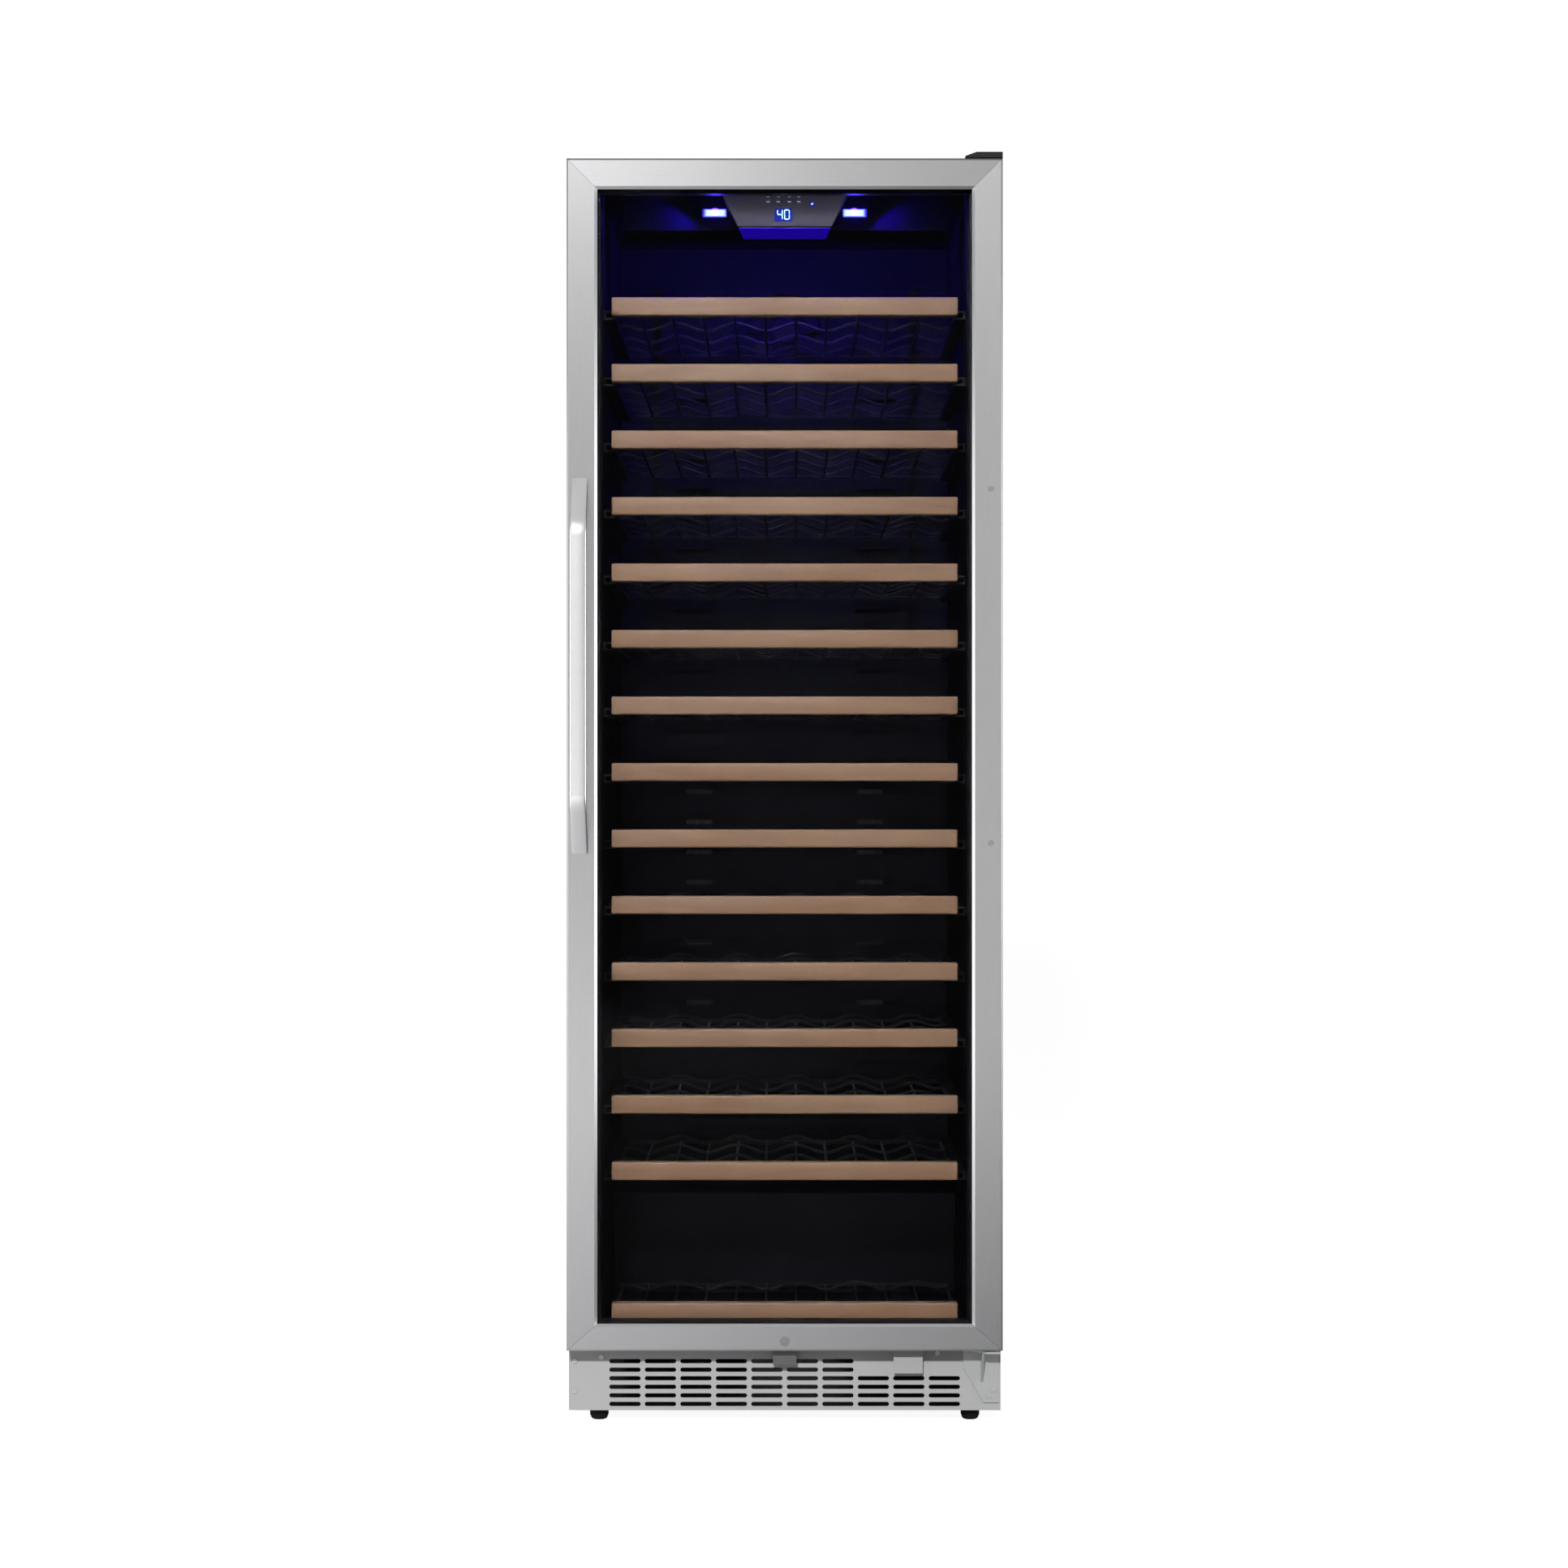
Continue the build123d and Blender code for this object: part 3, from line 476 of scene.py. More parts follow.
def make_glow(name, tone, strength):
    """A lit surface with a slightly uneven glow."""
    material, tree, inputs = new_material(name)
    cloud = noise(tree, object_place(tree), Scale=120.0, Detail=2.0)
    bright = (*(min(1.0, c * 1.25) for c in tone), 1)
    colour = mixed(tree, cloud, (*tone, 1), bright)
    feed(tree, inputs["Emission Color"], colour)
    feed(tree, inputs["Base Color"], colour)
    inputs["Emission Strength"].default_value = strength
    inputs["Roughness"].default_value = 0.3
    return material


def make_lens_glow(name, centre_x, centre_z, half_x, half_z, hot, rim, strength):
    """Two lit windows, hot in the middle and sinking to the rim colour.

    A point's share of the way out is the larger of ||x| - centre_x| / half_x and
    |z - centre_z| / half_z.
    """
    material, tree, inputs = new_material(name)
    parts = split_place(tree)
    shares = []
    for source, centre, half in (
        (maths(tree, "ABSOLUTE", parts["X"]), centre_x, half_x), (parts["Z"], centre_z, half_z),
    ):
        away = maths(tree, "ABSOLUTE", maths(tree, "SUBTRACT", source, centre))
        shares.append(maths(tree, "DIVIDE", away, half))
    fall = ranged(tree, maths(tree, "MAXIMUM", *shares), 0.58, 0.92, kind="SMOOTHSTEP")
    feed(tree, inputs["Emission Color"], mixed(tree, fall, (*hot, 1), (*rim, 1)))
    inputs["Base Color"].default_value = (*rim, 1)
    inputs["Emission Strength"].default_value = strength
    return material


def make_beech(name):
    """Steamed beech under a satin varnish: long flecks along X over slow growth bands.

    The tone drifts from board to board, and the rounded edges are worn paler.
    """
    material, tree, inputs = new_material(name)
    coordinates = node(tree, "ShaderNodeTexCoord").outputs
    place = coordinates["Object"]
    bands = noise(
        tree, drawn_out(tree, place, (6, 60, 90)), Scale=1.0, Detail=7.0, Roughness=0.6, Distortion=0.6
    )
    flecks = noise(tree, drawn_out(tree, place, (140, 900, 1400)), Scale=1.0, Detail=2.0)
    boards = noise(tree, drawn_out(tree, place, (5, 1, 17)), Scale=1.0, Detail=1.0)
    tone = node(tree, "ShaderNodeValToRGB", Fac=bands)
    first, last = tone.color_ramp.elements
    first.position, first.color = 0.3, (*BEECH_DARK, 1)
    last.position, last.color = 0.72, (*BEECH_PALE, 1)
    fleck_tone = (*(c * 0.55 for c in BEECH_DARK), 1)
    fleck_share = ranged(tree, flecks, 0.58, 0.8, to_high=0.35)
    grained = mixed(tree, fleck_share, tone.outputs["Color"], fleck_tone)
    board_share = ranged(tree, boards, 0.35, 0.65, to_high=0.55)
    ruddy = mixed(tree, board_share, grained, (0.93, 0.80, 0.70, 1), blend="MULTIPLY")
    facing = node(tree, "ShaderNodeSeparateXYZ", Vector=coordinates["Normal"]).outputs["Y"]
    edge_share = ranged(tree, maths(tree, "ABSOLUTE", facing), 0.98, 0.6, to_high=0.55)
    feed(tree, inputs["Base Color"], mixed(tree, edge_share, ruddy, (*BEECH_EDGE, 1)))
    feed(tree, inputs["Roughness"], maths(tree, "MULTIPLY_ADD", flecks, 0.25, 0.28))
    feed(tree, inputs["Normal"], normal_from(tree, flecks, 0.25, 0.3 * MM))
    return material


# ---- materials ----------------------------------------------------------------------------
BEECH_DARK = (0.35, 0.194, 0.107)
BEECH_PALE = (0.465, 0.282, 0.168)
BEECH_EDGE = (0.53, 0.37, 0.26)
STEEL = (0.70, 0.70, 0.71)
ALONG_X = (25, 1400, 1400)
ALONG_Z = (1400, 1400, 25)

steel_rail = brushed("steel_rail", STEEL, ALONG_X)
steel_stile = brushed("steel_stile", STEEL, ALONG_Z)
steel_kick = brushed("steel_kick", (0.36, 0.36, 0.365), ALONG_X, roughness=0.45, metallic=0.1)
steel_handle = brushed("steel_handle", (0.98, 0.98, 0.98), ALONG_X, roughness=0.26, contrast=0.06)
stretch_highlight(steel_rail, "X")
stretch_highlight(steel_stile, "Z")
stretch_highlight(steel_handle, "X")
# painted shade: a dark band along the door frame's side and top edges
paint_edge_shade(steel_rail, side=0.35, top=0.62)
paint_edge_shade(steel_stile, side=0.35, top=0.62)
lock_steel = brushed("lock_steel", (0.62, 0.61, 0.6), (300, 300, 300), roughness=0.2)
zinc = brushed("zinc_plate", (0.52, 0.53, 0.53), (220, 220, 220), roughness=0.38, metallic=0.5)
aluminium = brushed("coil_aluminium", (0.16, 0.16, 0.17), (60, 60, 900), roughness=0.3)
galvanised = brushed("galvanised", (0.30, 0.31, 0.32), (55, 55, 55), roughness=0.42, contrast=0.5)
black_paint = moulded("black_paint", (0.02, 0.02, 0.022), roughness=0.34, pebble=700, bump=0.1)
black_liner = moulded(
    "black_liner", (0.006, 0.006, 0.009), roughness=0.5, pebble=1400, bump=0.015, dust=0.01, sheen=0.12,
)
black_plastic = moulded("black_plastic", (0.012, 0.012, 0.013), roughness=0.4, sheen=0.25)
black_wire = moulded("black_wire", (0.015, 0.015, 0.016), roughness=0.25, pebble=300, bump=0.05)
rubber = moulded("gasket_rubber", (0.025, 0.025, 0.026), roughness=0.6, pebble=1500)
grey_plastic = moulded("grey_plastic", (0.30, 0.30, 0.30), roughness=0.4)
foot_plastic = moulded("foot_plastic", (0.008, 0.008, 0.008), roughness=0.5, dust=0.01, sheen=0.15)
panel_gloss = moulded("panel_gloss", (0.20, 0.185, 0.25), roughness=0.3, bump=0.03)
button_gloss = moulded("button_gloss", (0.23, 0.22, 0.29), roughness=0.25, bump=0.03)
foam_yellow = moulded("foam", (0.75, 0.65, 0.4), roughness=0.8, pebble=350, bump=0.5)
# painted light: the white print glows instead of being lit
print_painted_glow = make_glow("print_painted_glow", (0.60, 0.62, 0.75), 1.3)
keeper_steel = brushed("keeper_steel", (0.13, 0.13, 0.13), (220, 220, 220), roughness=0.4, metallic=0.4)
housing_black = moulded("housing_black", (0.0012, 0.0012, 0.003), roughness=0.6, dust=0.0, sheen=0.04)
spacer_black = moulded("spacer_black", (0.01, 0.01, 0.01), roughness=0.5)
beech = make_beech("beech")
outer_tint = make_glass("tinted_glass", (0.36, 0.36, 0.37), gloss=0.04)
inner_clear = make_glass("clear_glass", (0.93, 0.95, 0.95), gloss=0.03)
LENS_HALF = 18.2 * MM
lens_low, lens_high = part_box("light_lenses")
lens_x = lens_high[0] - LENS_HALF
lens_z = (lens_low[2] + lens_high[2]) / 2
lamp_glow = make_lens_glow(
    "lamp_lens", lens_x, lens_z, LENS_HALF, lens_high[2] - lens_z,
    (0.62, 0.8, 1.0), (0.012, 0.004, 0.22), 4.0,
)
digit_glow = make_glow("digit_glow", (0.45, 0.75, 1.0), 4.0)
display_glow = make_glow("display_glow", (0.01, 0.02, 0.35), 1.6)
# painted light: the blue lamp light on the pod's underside, as a glow
pod_painted_light = make_glow("pod_painted_light", (0.025, 0.0, 0.95), 0.62)

finish = {
    "outer_shell": black_paint, "back_panel": black_paint, "rear_grille": black_paint,
    "condenser_coil": black_paint, "compressor": black_paint, "lock_keeper": keeper_steel,
    "top_hinge_bracket": black_paint, "inner_liner": black_liner, "control_housing": housing_black,
    "air_duct_panel": black_liner, "foam_insulation": foam_yellow, "base_frame": galvanised,
    "kick_plate": steel_kick, "mains_inlet": black_plastic, "bottom_hinge_bracket": zinc,
    "top_hinge_cover": black_plastic, "cabinet_screws": zinc, "control_panel": panel_gloss,
    "light_lenses": lamp_glow, "evaporator_coil": aluminium, "shelf_rails": black_plastic,
    "circulation_fan": black_plastic, "condenser_fan": black_plastic, "lock_core": lock_steel,
    "lock_cylinder": lock_steel, "door_top_rail": steel_rail, "door_bottom_rail": steel_rail,
    "door_hinge_stile": steel_stile, "door_handle_stile": steel_stile,
    "outer_glass": outer_tint, "inner_glass": inner_clear, "glass_spacer": spacer_black,
    "door_inner_frame": black_plastic, "door_gasket": rubber, "door_handle": steel_handle,
    "door_stop_tab": grey_plastic, "door_screws": lock_steel,
    "front_foot_left": foot_plastic, "front_foot_right": foot_plastic,
    "rear_foot_left": foot_plastic, "rear_foot_right": foot_plastic,
    "power_button": button_gloss, "light_button": button_gloss,
    "up_button": button_gloss, "down_button": button_gloss,
}
for name, material in finish.items():
    for slot in frame["nodes"][name].material_slots:
        slot.material = material


# ---- shelves ------------------------------------------------------------------------------
FRONT_HALF = 239.5 * MM
FRONT_DEPTH = 22 * MM
FRONT_HEIGHT = 25 * MM
ROD_DROP = 9 * MM
BOTTLE_PITCH = 86.7 * MM
FIRST_TROUGH = -200 * MM
WAVE = 5.5 * MM
WIRE = 2.2 * MM
RACK_HALF = 238 * MM
BACK_ROD = 2.6 * MM
CRADLES = (-0.17, -0.04, 0.09, 0.21)
FLOOR_CRADLES = (-0.17, 0.04)
FLOOR_POSTS = (-0.190, 0.078)


def shelf_front(front_y, middle_z):
    """Wooden shelf front with every edge rounded."""
    low = (-FRONT_HALF, front_y, middle_z - FRONT_HEIGHT / 2)
    high = (FRONT_HALF, front_y + FRONT_DEPTH, middle_z + FRONT_HEIGHT / 2)
    return rounded_block(low, high, 2.6 * MM)


def cradle(y, z, half):
    """Cross wire that dips under each bottle: height = z - wave * cos(2 pi (x - trough) / pitch)."""
    x = np.linspace(-half, half, 121)
    height = z - WAVE * np.cos(2 * np.pi * (x - FIRST_TROUGH) / BOTTLE_PITCH)
    # the wave dies away at the side rods
    fade = np.clip((half - np.abs(x)) / (20 * MM), 0, 1)
    height = z + (height - z) * fade
    return wire(np.column_stack([x, np.full_like(x, y), height]), WIRE, 8)


def rack_wires(front_y, back_y, rod_z, cross_y):
    """Side rods and a back rod, straight wires between them, and cradle wires across."""
    start = front_y + 1 * MM
    shapes = []
    for x in (-RACK_HALF, RACK_HALF):
        shapes.append(rod((x, start, rod_z), (x, back_y, rod_z), 3 * MM, 12))
    for y in cross_y:
        shapes.append(cradle(y, rod_z + WAVE, RACK_HALF))
    z = rod_z - 1 * MM
    for x in FIRST_TROUGH + BOTTLE_PITCH / 2 * np.arange(-1, 11):
        if abs(x) <= RACK_HALF - 10 * MM:
            shapes.append(rod((x, start, z), (x, back_y, z), 1.8 * MM, 8))
    shapes.append(rod((-RACK_HALF, back_y, rod_z), (RACK_HALF, back_y, rod_z), BACK_ROD, 10))
    return merged(shapes)


def rack_of(name, middle_z, cross_y):
    """Wires of a shelf's rack, from inside its wooden front to the back of its box."""
    low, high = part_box(name)
    return rack_wires(low[1] + FRONT_DEPTH - 1 * MM, high[1] - BACK_ROD, middle_z - ROD_DROP, cross_y)


bodies_of = frame["record"]["behaviour"]["bodies"]
body_of_node = {n: body for body, nodes in bodies_of.items() for n in nodes}
shelf_names = sorted(n for n in frame["nodes"] if n.startswith("shelf_") and n[-1].isdigit())

for name in shelf_names:
    low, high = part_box(name)
    middle_z = (low[2] + high[2]) / 2
    body = body_of_node[name]
    piece(f"{name}_front", shelf_front(low[1], middle_z), beech, body, replaces=(name,))
    piece(f"{name}_rack", rack_of(name, middle_z, CRADLES), black_wire, body, replaces=(name,))

low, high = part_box("floor_rack")
middle_z = high[2] - FRONT_HEIGHT / 2
piece("floor_rack_front", shelf_front(low[1], middle_z), beech, "cabinet", replaces=("floor_rack",))
floor_wires = [rack_of("floor_rack", middle_z, FLOOR_CRADLES)]
for x in (-RACK_HALF, RACK_HALF):
    for y in FLOOR_POSTS:
        floor_wires.append(rod((x, y, low[2]), (x, y, middle_z - ROD_DROP), 2.5 * MM, 10))
piece("floor_rack_wires", merged(floor_wires), black_wire, "cabinet", replaces=("floor_rack",))


# ---- feet, fans, gasket and back ----------------------------------------------------------
def ribbed_lathe(profile, centre, ribs, depth, sides=96):
    """Turned solid about Z whose radius is r * (1 - depth * rib share * (1 + cos(ribs * turn)) / 2)."""
    turn = np.linspace(0, 2 * np.pi, sides, endpoint=False)
    profile = as_array(profile)
    wave = 1 - depth * profile[:, 2:3] * (1 + np.cos(ribs * turn))[None] / 2
    radius = profile[:, 0:1] * wave
    rings = np.stack(
        [radius * np.cos(turn), radius * np.sin(turn), np.repeat(profile[:, 1:2], sides, 1)], -1
    )
    return closed_tube(rings + as_array(centre))


def foot_shape(low, high):
    """Levelling foot: ribbed pad with rounded edges under a threaded stud.

    Each profile point is (radius, height, rib share).
    """
    pad = (high[0] - low[0]) / 2
    tall = 15 * MM
    stud = 4 * MM
    turn = np.linspace(0, np.pi / 2, 5)
    edge = 4.5 * MM
    start = pad - edge - 1.2 * MM
    profile = [(start + edge * math.sin(a), edge * (1 - math.cos(a)), 0) for a in turn]
    profile += [(pad - 0.6 * MM, 5 * MM, 1), (pad, 7 * MM, 1), (pad, 12.5 * MM, 1)]
    profile += [(pad - 0.4 * MM, 13.2 * MM, 0), (pad - 1.2 * MM, 14.2 * MM, 0)]
    profile += [(pad - 2.6 * MM, tall, 0), (stud + 1 * MM, tall, 0)]
    pitch = 1.25 * MM
    for k in range(int((high[2] - low[2] - tall - 2 * MM) / pitch)):
        z = tall + k * pitch
        profile += [(stud, z + 0.1 * pitch, 0), (stud, z + 0.3 * pitch, 0)]
        profile += [(stud - 0.6 * MM, z + 0.7 * pitch, 0)]
    profile += [(stud - 0.8 * MM, high[2] - 0.1 * MM, 0)]
    centre = ((low[0] + high[0]) / 2, (low[1] + high[1]) / 2, low[2])
    return ribbed_lathe(profile, centre, 24, 0.05)


for foot in ("front_foot_left", "front_foot_right", "rear_foot_left", "rear_foot_right"):
    shape = foot_shape(*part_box(foot))
    piece(f"{foot}_pad", shape, foot_plastic, body_of_node[foot], replaces=(foot,))


def blade(centre, start, hub, tip, pitch, thick):
    """Twisted blade: each section is an arc about the axle that leans by the pitch.

    Towards the tip the arc narrows and turns forward, the lean eases and the blade thins.
    """
    along = np.linspace(0, 1, 9)
    chord = np.linspace(0, 1, 7)
    rings = []
    for share in along:
        radius = hub + (tip - hub) * share
        width = 0.66 - 0.10 * share
        lean = pitch * (1.0 - 0.35 * share)
        turn = start + 0.30 * share + width * (chord - 0.5)
        depth = lean * (chord - 0.5) + 0.9 * MM * 4 * chord * (1 - chord)
        body = thick * (0.35 + 0.65 * np.sin(np.pi * chord)) * (1 - 0.45 * share) / 2
        over = np.stack([radius * np.cos(turn), depth + body, radius * np.sin(turn)], -1)
        under = np.stack([radius * np.cos(turn), depth - body, radius * np.sin(turn)], -1)
        rings.append(np.vstack([over, under[::-1]]))
    return closed_tube(np.array(rings) + as_array(centre))


def fan_rotor(low, high, blades=7):
    """Axial rotor about Y: seven twisted blades on a domed hub."""
    centre = (as_array(low) + as_array(high)) / 2
    # an odd number of blades reaches unevenly to the sides, so the middle is rounded to the axle
    centre[0] = round(centre[0], 2)
    depth = high[1] - low[1]
    tip = (high[2] - low[2]) / 2 - 0.6 * MM
    hub = 19 * MM
    half = depth / 2
    root = hub - 1.5 * MM
    dome = [
        (hub - 2.5 * MM, -half), (hub - 0.6 * MM, -half + 1 * MM), (hub, -half + 3 * MM),
        (hub, half - 1.5 * MM), (hub - 1.5 * MM, half - 0.2 * MM), (hub * 0.5, half),
    ]
    shapes = [lathe(dome, centre, (0, 1, 0), 40)]
    for k in range(blades):
        shapes.append(blade(centre, 2 * np.pi * k / blades, root, tip, depth * 0.8, 2.0 * MM))
    return merged(shapes)


for fan in ("circulation_fan", "condenser_fan"):
    shape = fan_rotor(*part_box(fan))
    piece(f"{fan}_blades", shape, black_plastic, body_of_node[fan], replaces=(fan,))

gasket_low, gasket_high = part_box("door_gasket")
# the gasket's section in millimetres: (inward, out from the door)
BELLOWS = [
    (1.4, 0.0), (0.5, 0.9), (0.1, 2.4), (1.3, 3.4), (0.3, 4.6), (0.0, 6.8), (0.7, 8.8), (2.2, 9.6),
    (9.4, 9.6), (11.0, 8.7), (11.6, 6.8), (10.9, 4.7), (12.4, 3.9), (13.2, 2.4), (12.8, 0.9), (11.8, 0.0),
]
bellows = [(inward * MM, gasket_low[1] + y * MM) for inward, y in BELLOWS]
gasket = ring_around(bellows, gasket_high[0], gasket_low[2], gasket_high[2], 7 * MM)
piece("door_gasket_bellows", gasket, rubber, "door", replaces=("door_gasket",))


STEP_WIDTH = 9 * MM


def pressed_panel(low, high, fields, proud, columns=150, rows=320):
    """Sheet closed all round; its back stands proud by a smooth step inside each rounded field.

    The height is proud * smoothstep(distance inside the nearest field / STEP_WIDTH).
    """
    x = np.linspace(low[0], high[0], columns)
    z = np.linspace(low[2], high[2], rows)
    grid_x, grid_z = np.meshgrid(x, z, indexing="ij")
    inside = np.full(grid_x.shape, -1.0)
    for left, bottom, right, top, corner in fields:
        away_x = np.abs(grid_x - (left + right) / 2) - (right - left) / 2 + corner
        away_z = np.abs(grid_z - (bottom + top) / 2) - (top - bottom) / 2 + corner
        outer = np.hypot(np.maximum(away_x, 0), np.maximum(away_z, 0))
        gap = corner - outer - np.minimum(np.maximum(away_x, away_z), 0)
        inside = np.maximum(inside, gap)
    share = np.clip(inside / STEP_WIDTH, 0, 1)
    height = proud * share * share * (3 - 2 * share)
    back = np.stack([grid_x, high[1] - proud + height, grid_z], -1)
    front = np.stack([grid_x, np.full_like(grid_x, low[1]), grid_z], -1)
    faces = grid_quads(columns, rows).tolist()
    count = columns * rows
    faces += [[count + i for i in reversed(quad)] for quad in faces]
    index = np.arange(count).reshape(columns, rows)
    rim = np.concatenate([index[:-1, 0], index[-1, :-1], index[:0:-1, -1], index[0, :0:-1]])
    after = np.roll(rim, -1)
    faces += np.stack([rim, after, after + count, rim + count], -1).tolist()
    return np.vstack([back.reshape(-1, 3), front.reshape(-1, 3)]), faces


PRESSING = 0.9 * MM
FIELD_MARGIN = 70 * MM
back_low, back_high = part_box("back_panel")
field_half = back_high[0] - FIELD_MARGIN
middle = (back_low[2] + back_high[2]) / 2
fields = [
    (-field_half, back_low[2] + FIELD_MARGIN, field_half, middle - FIELD_MARGIN / 2, 30 * MM),
    (-field_half, middle + FIELD_MARGIN / 2, field_half, back_high[2] - FIELD_MARGIN, 30 * MM),
]
# the sheet laps down to the edge of the grille below it
seam = back_low[2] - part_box("rear_grille")[1][2] - 0.3 * MM
back_sheet = pressed_panel(as_array(back_low) - (0, 0, seam), back_high, fields, PRESSING)
piece("back_panel_pressed", back_sheet, black_paint, "cabinet", replaces=("back_panel",))


# a screw head's dome from rim to middle: (share of the radius, share of the height)
DOME = ((1.0, 0.0), (1.0, 0.45), (0.93, 0.75), (0.72, 0.95), (0.5, 1.0), (0.3, 1.0), (0.12, 1.0))


def cross_head(centre, outward, radius=3.4 * MM, tall=PRESSING):
    """Pan head screw: a domed disc whose top sinks in a cross of four arms, over r and turn."""
    outward = as_array(outward)
    across = np.cross(np.array([0, 0, 1.0]), outward)
    side = np.cross(outward, across)
    turn = np.linspace(0, 2 * np.pi, 32, endpoint=False)
    arms = np.abs(np.sin(2 * turn)) < 0.42
    rings = []
    for share, lift in DOME:
        sunk = np.where(arms & (share < 0.6), 0.45, 0.0) if share > 0.2 else np.full(32, 0.55)
        ring = radius * share * (np.cos(turn)[:, None] * across + np.sin(turn)[:, None] * side)
        rings.append(ring + (tall * (lift - sunk))[:, None] * outward)
    return closed_tube(np.array(rings) + as_array(centre))


screw_y = back_high[1] - PRESSING
edge_x = back_high[0] - 14 * MM
heights = np.linspace(back_low[2] + 60 * MM, back_high[2] - 30 * MM, 6)
places = [(sx * edge_x, z) for sx in (-1, 1) for z in heights]
places += [(x, back_high[2] - 14 * MM) for x in (-0.15, 0, 0.15)]
heads = [cross_head((x, screw_y, z), (0, 1, 0)) for x, z in places]
piece("back_panel_screws", merged(heads), zinc, "cabinet")


# ---- handle -------------------------------------------------------------------------------
def bow_path(outer, radius, steps=9):
    """Centre line through corner points, each corner rounded by an arc of the given radius."""
    points = [outer[0]]
    for before, corner, after in zip(outer, outer[1:], outer[2:]):
        back, ahead = before - corner, after - corner
        back, ahead = back / np.linalg.norm(back), ahead / np.linalg.norm(ahead)
        half = math.acos(np.dot(back, ahead)) / 2
        middle = back + ahead
        centre = corner + middle / np.linalg.norm(middle) * radius / math.sin(half)
        first = corner + back * radius / math.tan(half)
        last = corner + ahead * radius / math.tan(half)
        for share in np.linspace(0, 1, steps):
            spoke = (first - centre) * (1 - share) + (last - centre) * share
            points.append(centre + spoke / np.linalg.norm(spoke) * radius)
    return np.array(points + [outer[-1]])


def bar_along(path, outline, corner_x):
    """A flat bar: the outline (x, depth) carried along a path in YZ, square to its direction."""
    ahead = np.gradient(path, axis=0)
    ahead /= np.linalg.norm(ahead, axis=1, keepdims=True)
    outward = np.stack([-ahead[:, 1], ahead[:, 0]], -1)
    rings = np.zeros((len(path), len(outline), 3))
    rings[..., 0] = corner_x + outline[:, 0]
    rings[..., 1:] = path[:, None] + outline[:, 1][None, :, None] * outward[:, None]
    return closed_tube(rings)


handle_low, handle_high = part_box("door_handle")
HANDLE_THICK = 12 * MM
HANDLE_RISE = 71 * MM
BEND_RADIUS = 40 * MM
# how far each leg runs on into the door frame
SUNK = 2 * MM
handle_half = (handle_high[0] - handle_low[0]) / 2
reach = handle_high[1] - handle_low[1]
leg_angle = math.atan2(reach, HANDLE_RISE)
centre_y = handle_low[1] + HANDLE_THICK / 2
# the leg's centre line lies half a thickness under its outer face
shift = HANDLE_THICK / 2 / math.sin(leg_angle)
meet = HANDLE_THICK / 2 / math.tan((math.pi - leg_angle) / 2)
sunk_z = SUNK / math.tan(leg_angle)
foot_z = handle_low[2] + shift - sunk_z
bend_z = handle_low[2] + HANDLE_RISE + meet
top_z = handle_low[2] + handle_high[2]
handle_line = as_array([
    (handle_high[1] + SUNK, foot_z), (centre_y, bend_z),
    (centre_y, top_z - bend_z), (handle_high[1] + SUNK, top_z - foot_z),
])
handle_section = rounded_outline(handle_half, HANDLE_THICK / 2, 3.2 * MM, 6)
handle_centre_x = (handle_low[0] + handle_high[0]) / 2
handle_bow = bar_along(bow_path(handle_line, BEND_RADIUS, 16), handle_section, handle_centre_x)
piece("door_handle_bow", handle_bow, steel_handle, "door", replaces=("door_handle",))


# ---- controls -----------------------------------------------------------------------------
panel_low, panel_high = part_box("control_panel")
# the pod's face leans back 15 mm over its height of 42 mm
FACE_TILT = math.atan2(15.0, 42.0)
face_up = np.array([0, -math.sin(FACE_TILT), math.cos(FACE_TILT)])
face_out = np.array([0, -math.cos(FACE_TILT), -math.sin(FACE_TILT)])
face_top = np.array([0, panel_low[1], panel_high[2] - 0.7 * MM])


def on_face(x, z, proud):
    """Point on the tilted panel at a height z, standing proud of it."""
    down = (face_top[2] - z) / face_up[2]
    return face_top - face_up * down + np.array([x, 0, 0]) + face_out * proud


def face_bar(x0, z0, x1, z1, width, proud, depth):
    """A flat bar on the panel between two points, with pointed ends like a display segment."""
    a, b = np.array([x0, z0]), np.array([x1, z1])
    along = (b - a) / np.linalg.norm(b - a)
    side = np.array([-along[1], along[0]]) * width / 2
    tip = along * width / 2
    outline = [a, a + tip + side, b - tip + side, b, b - tip - side, a + tip - side]
    top = [on_face(x, z, proud) for x, z in outline]
    foot = [on_face(x, z, proud - depth) for x, z in outline]
    return closed_tube(np.array([foot, top]))


DIGIT_STROKES = {
    "4": "fgbc",
    "0": "abcdef",
}
DIGIT_WIDE = 6.5 * MM
DIGIT_TALL = 12 * MM


def digit(shape, x, z):
    """Seven-segment digit whose lower left corner is at x, z."""
    w, h = DIGIT_WIDE, DIGIT_TALL
    corners = {
        "a": ((0, h), (w, h)), "b": ((w, h), (w, h / 2)), "c": ((w, h / 2), (w, 0)),
        "d": ((0, 0), (w, 0)), "e": ((0, 0), (0, h / 2)), "f": ((0, h / 2), (0, h)),
        "g": ((0, h / 2), (w, h / 2)),
    }
    bars = []
    for stroke in DIGIT_STROKES[shape]:
        (ax, az), (bx, bz) = corners[stroke]
        bars.append(face_bar(x + ax, z + az, x + bx, z + bz, 1.5 * MM, -0.3 * MM, 0.4 * MM))
    return bars


DISPLAY_X = -1.7 * MM
DISPLAY_Z = 1669 * MM
first_digit = DISPLAY_X - DIGIT_WIDE - 1.6 * MM
digits = digit("4", first_digit, DISPLAY_Z - DIGIT_TALL / 2)
digits += digit("0", DISPLAY_X + 1.6 * MM, DISPLAY_Z - DIGIT_TALL / 2)
piece("display_digits", merged(digits), digit_glow, "cabinet", smooth=False)

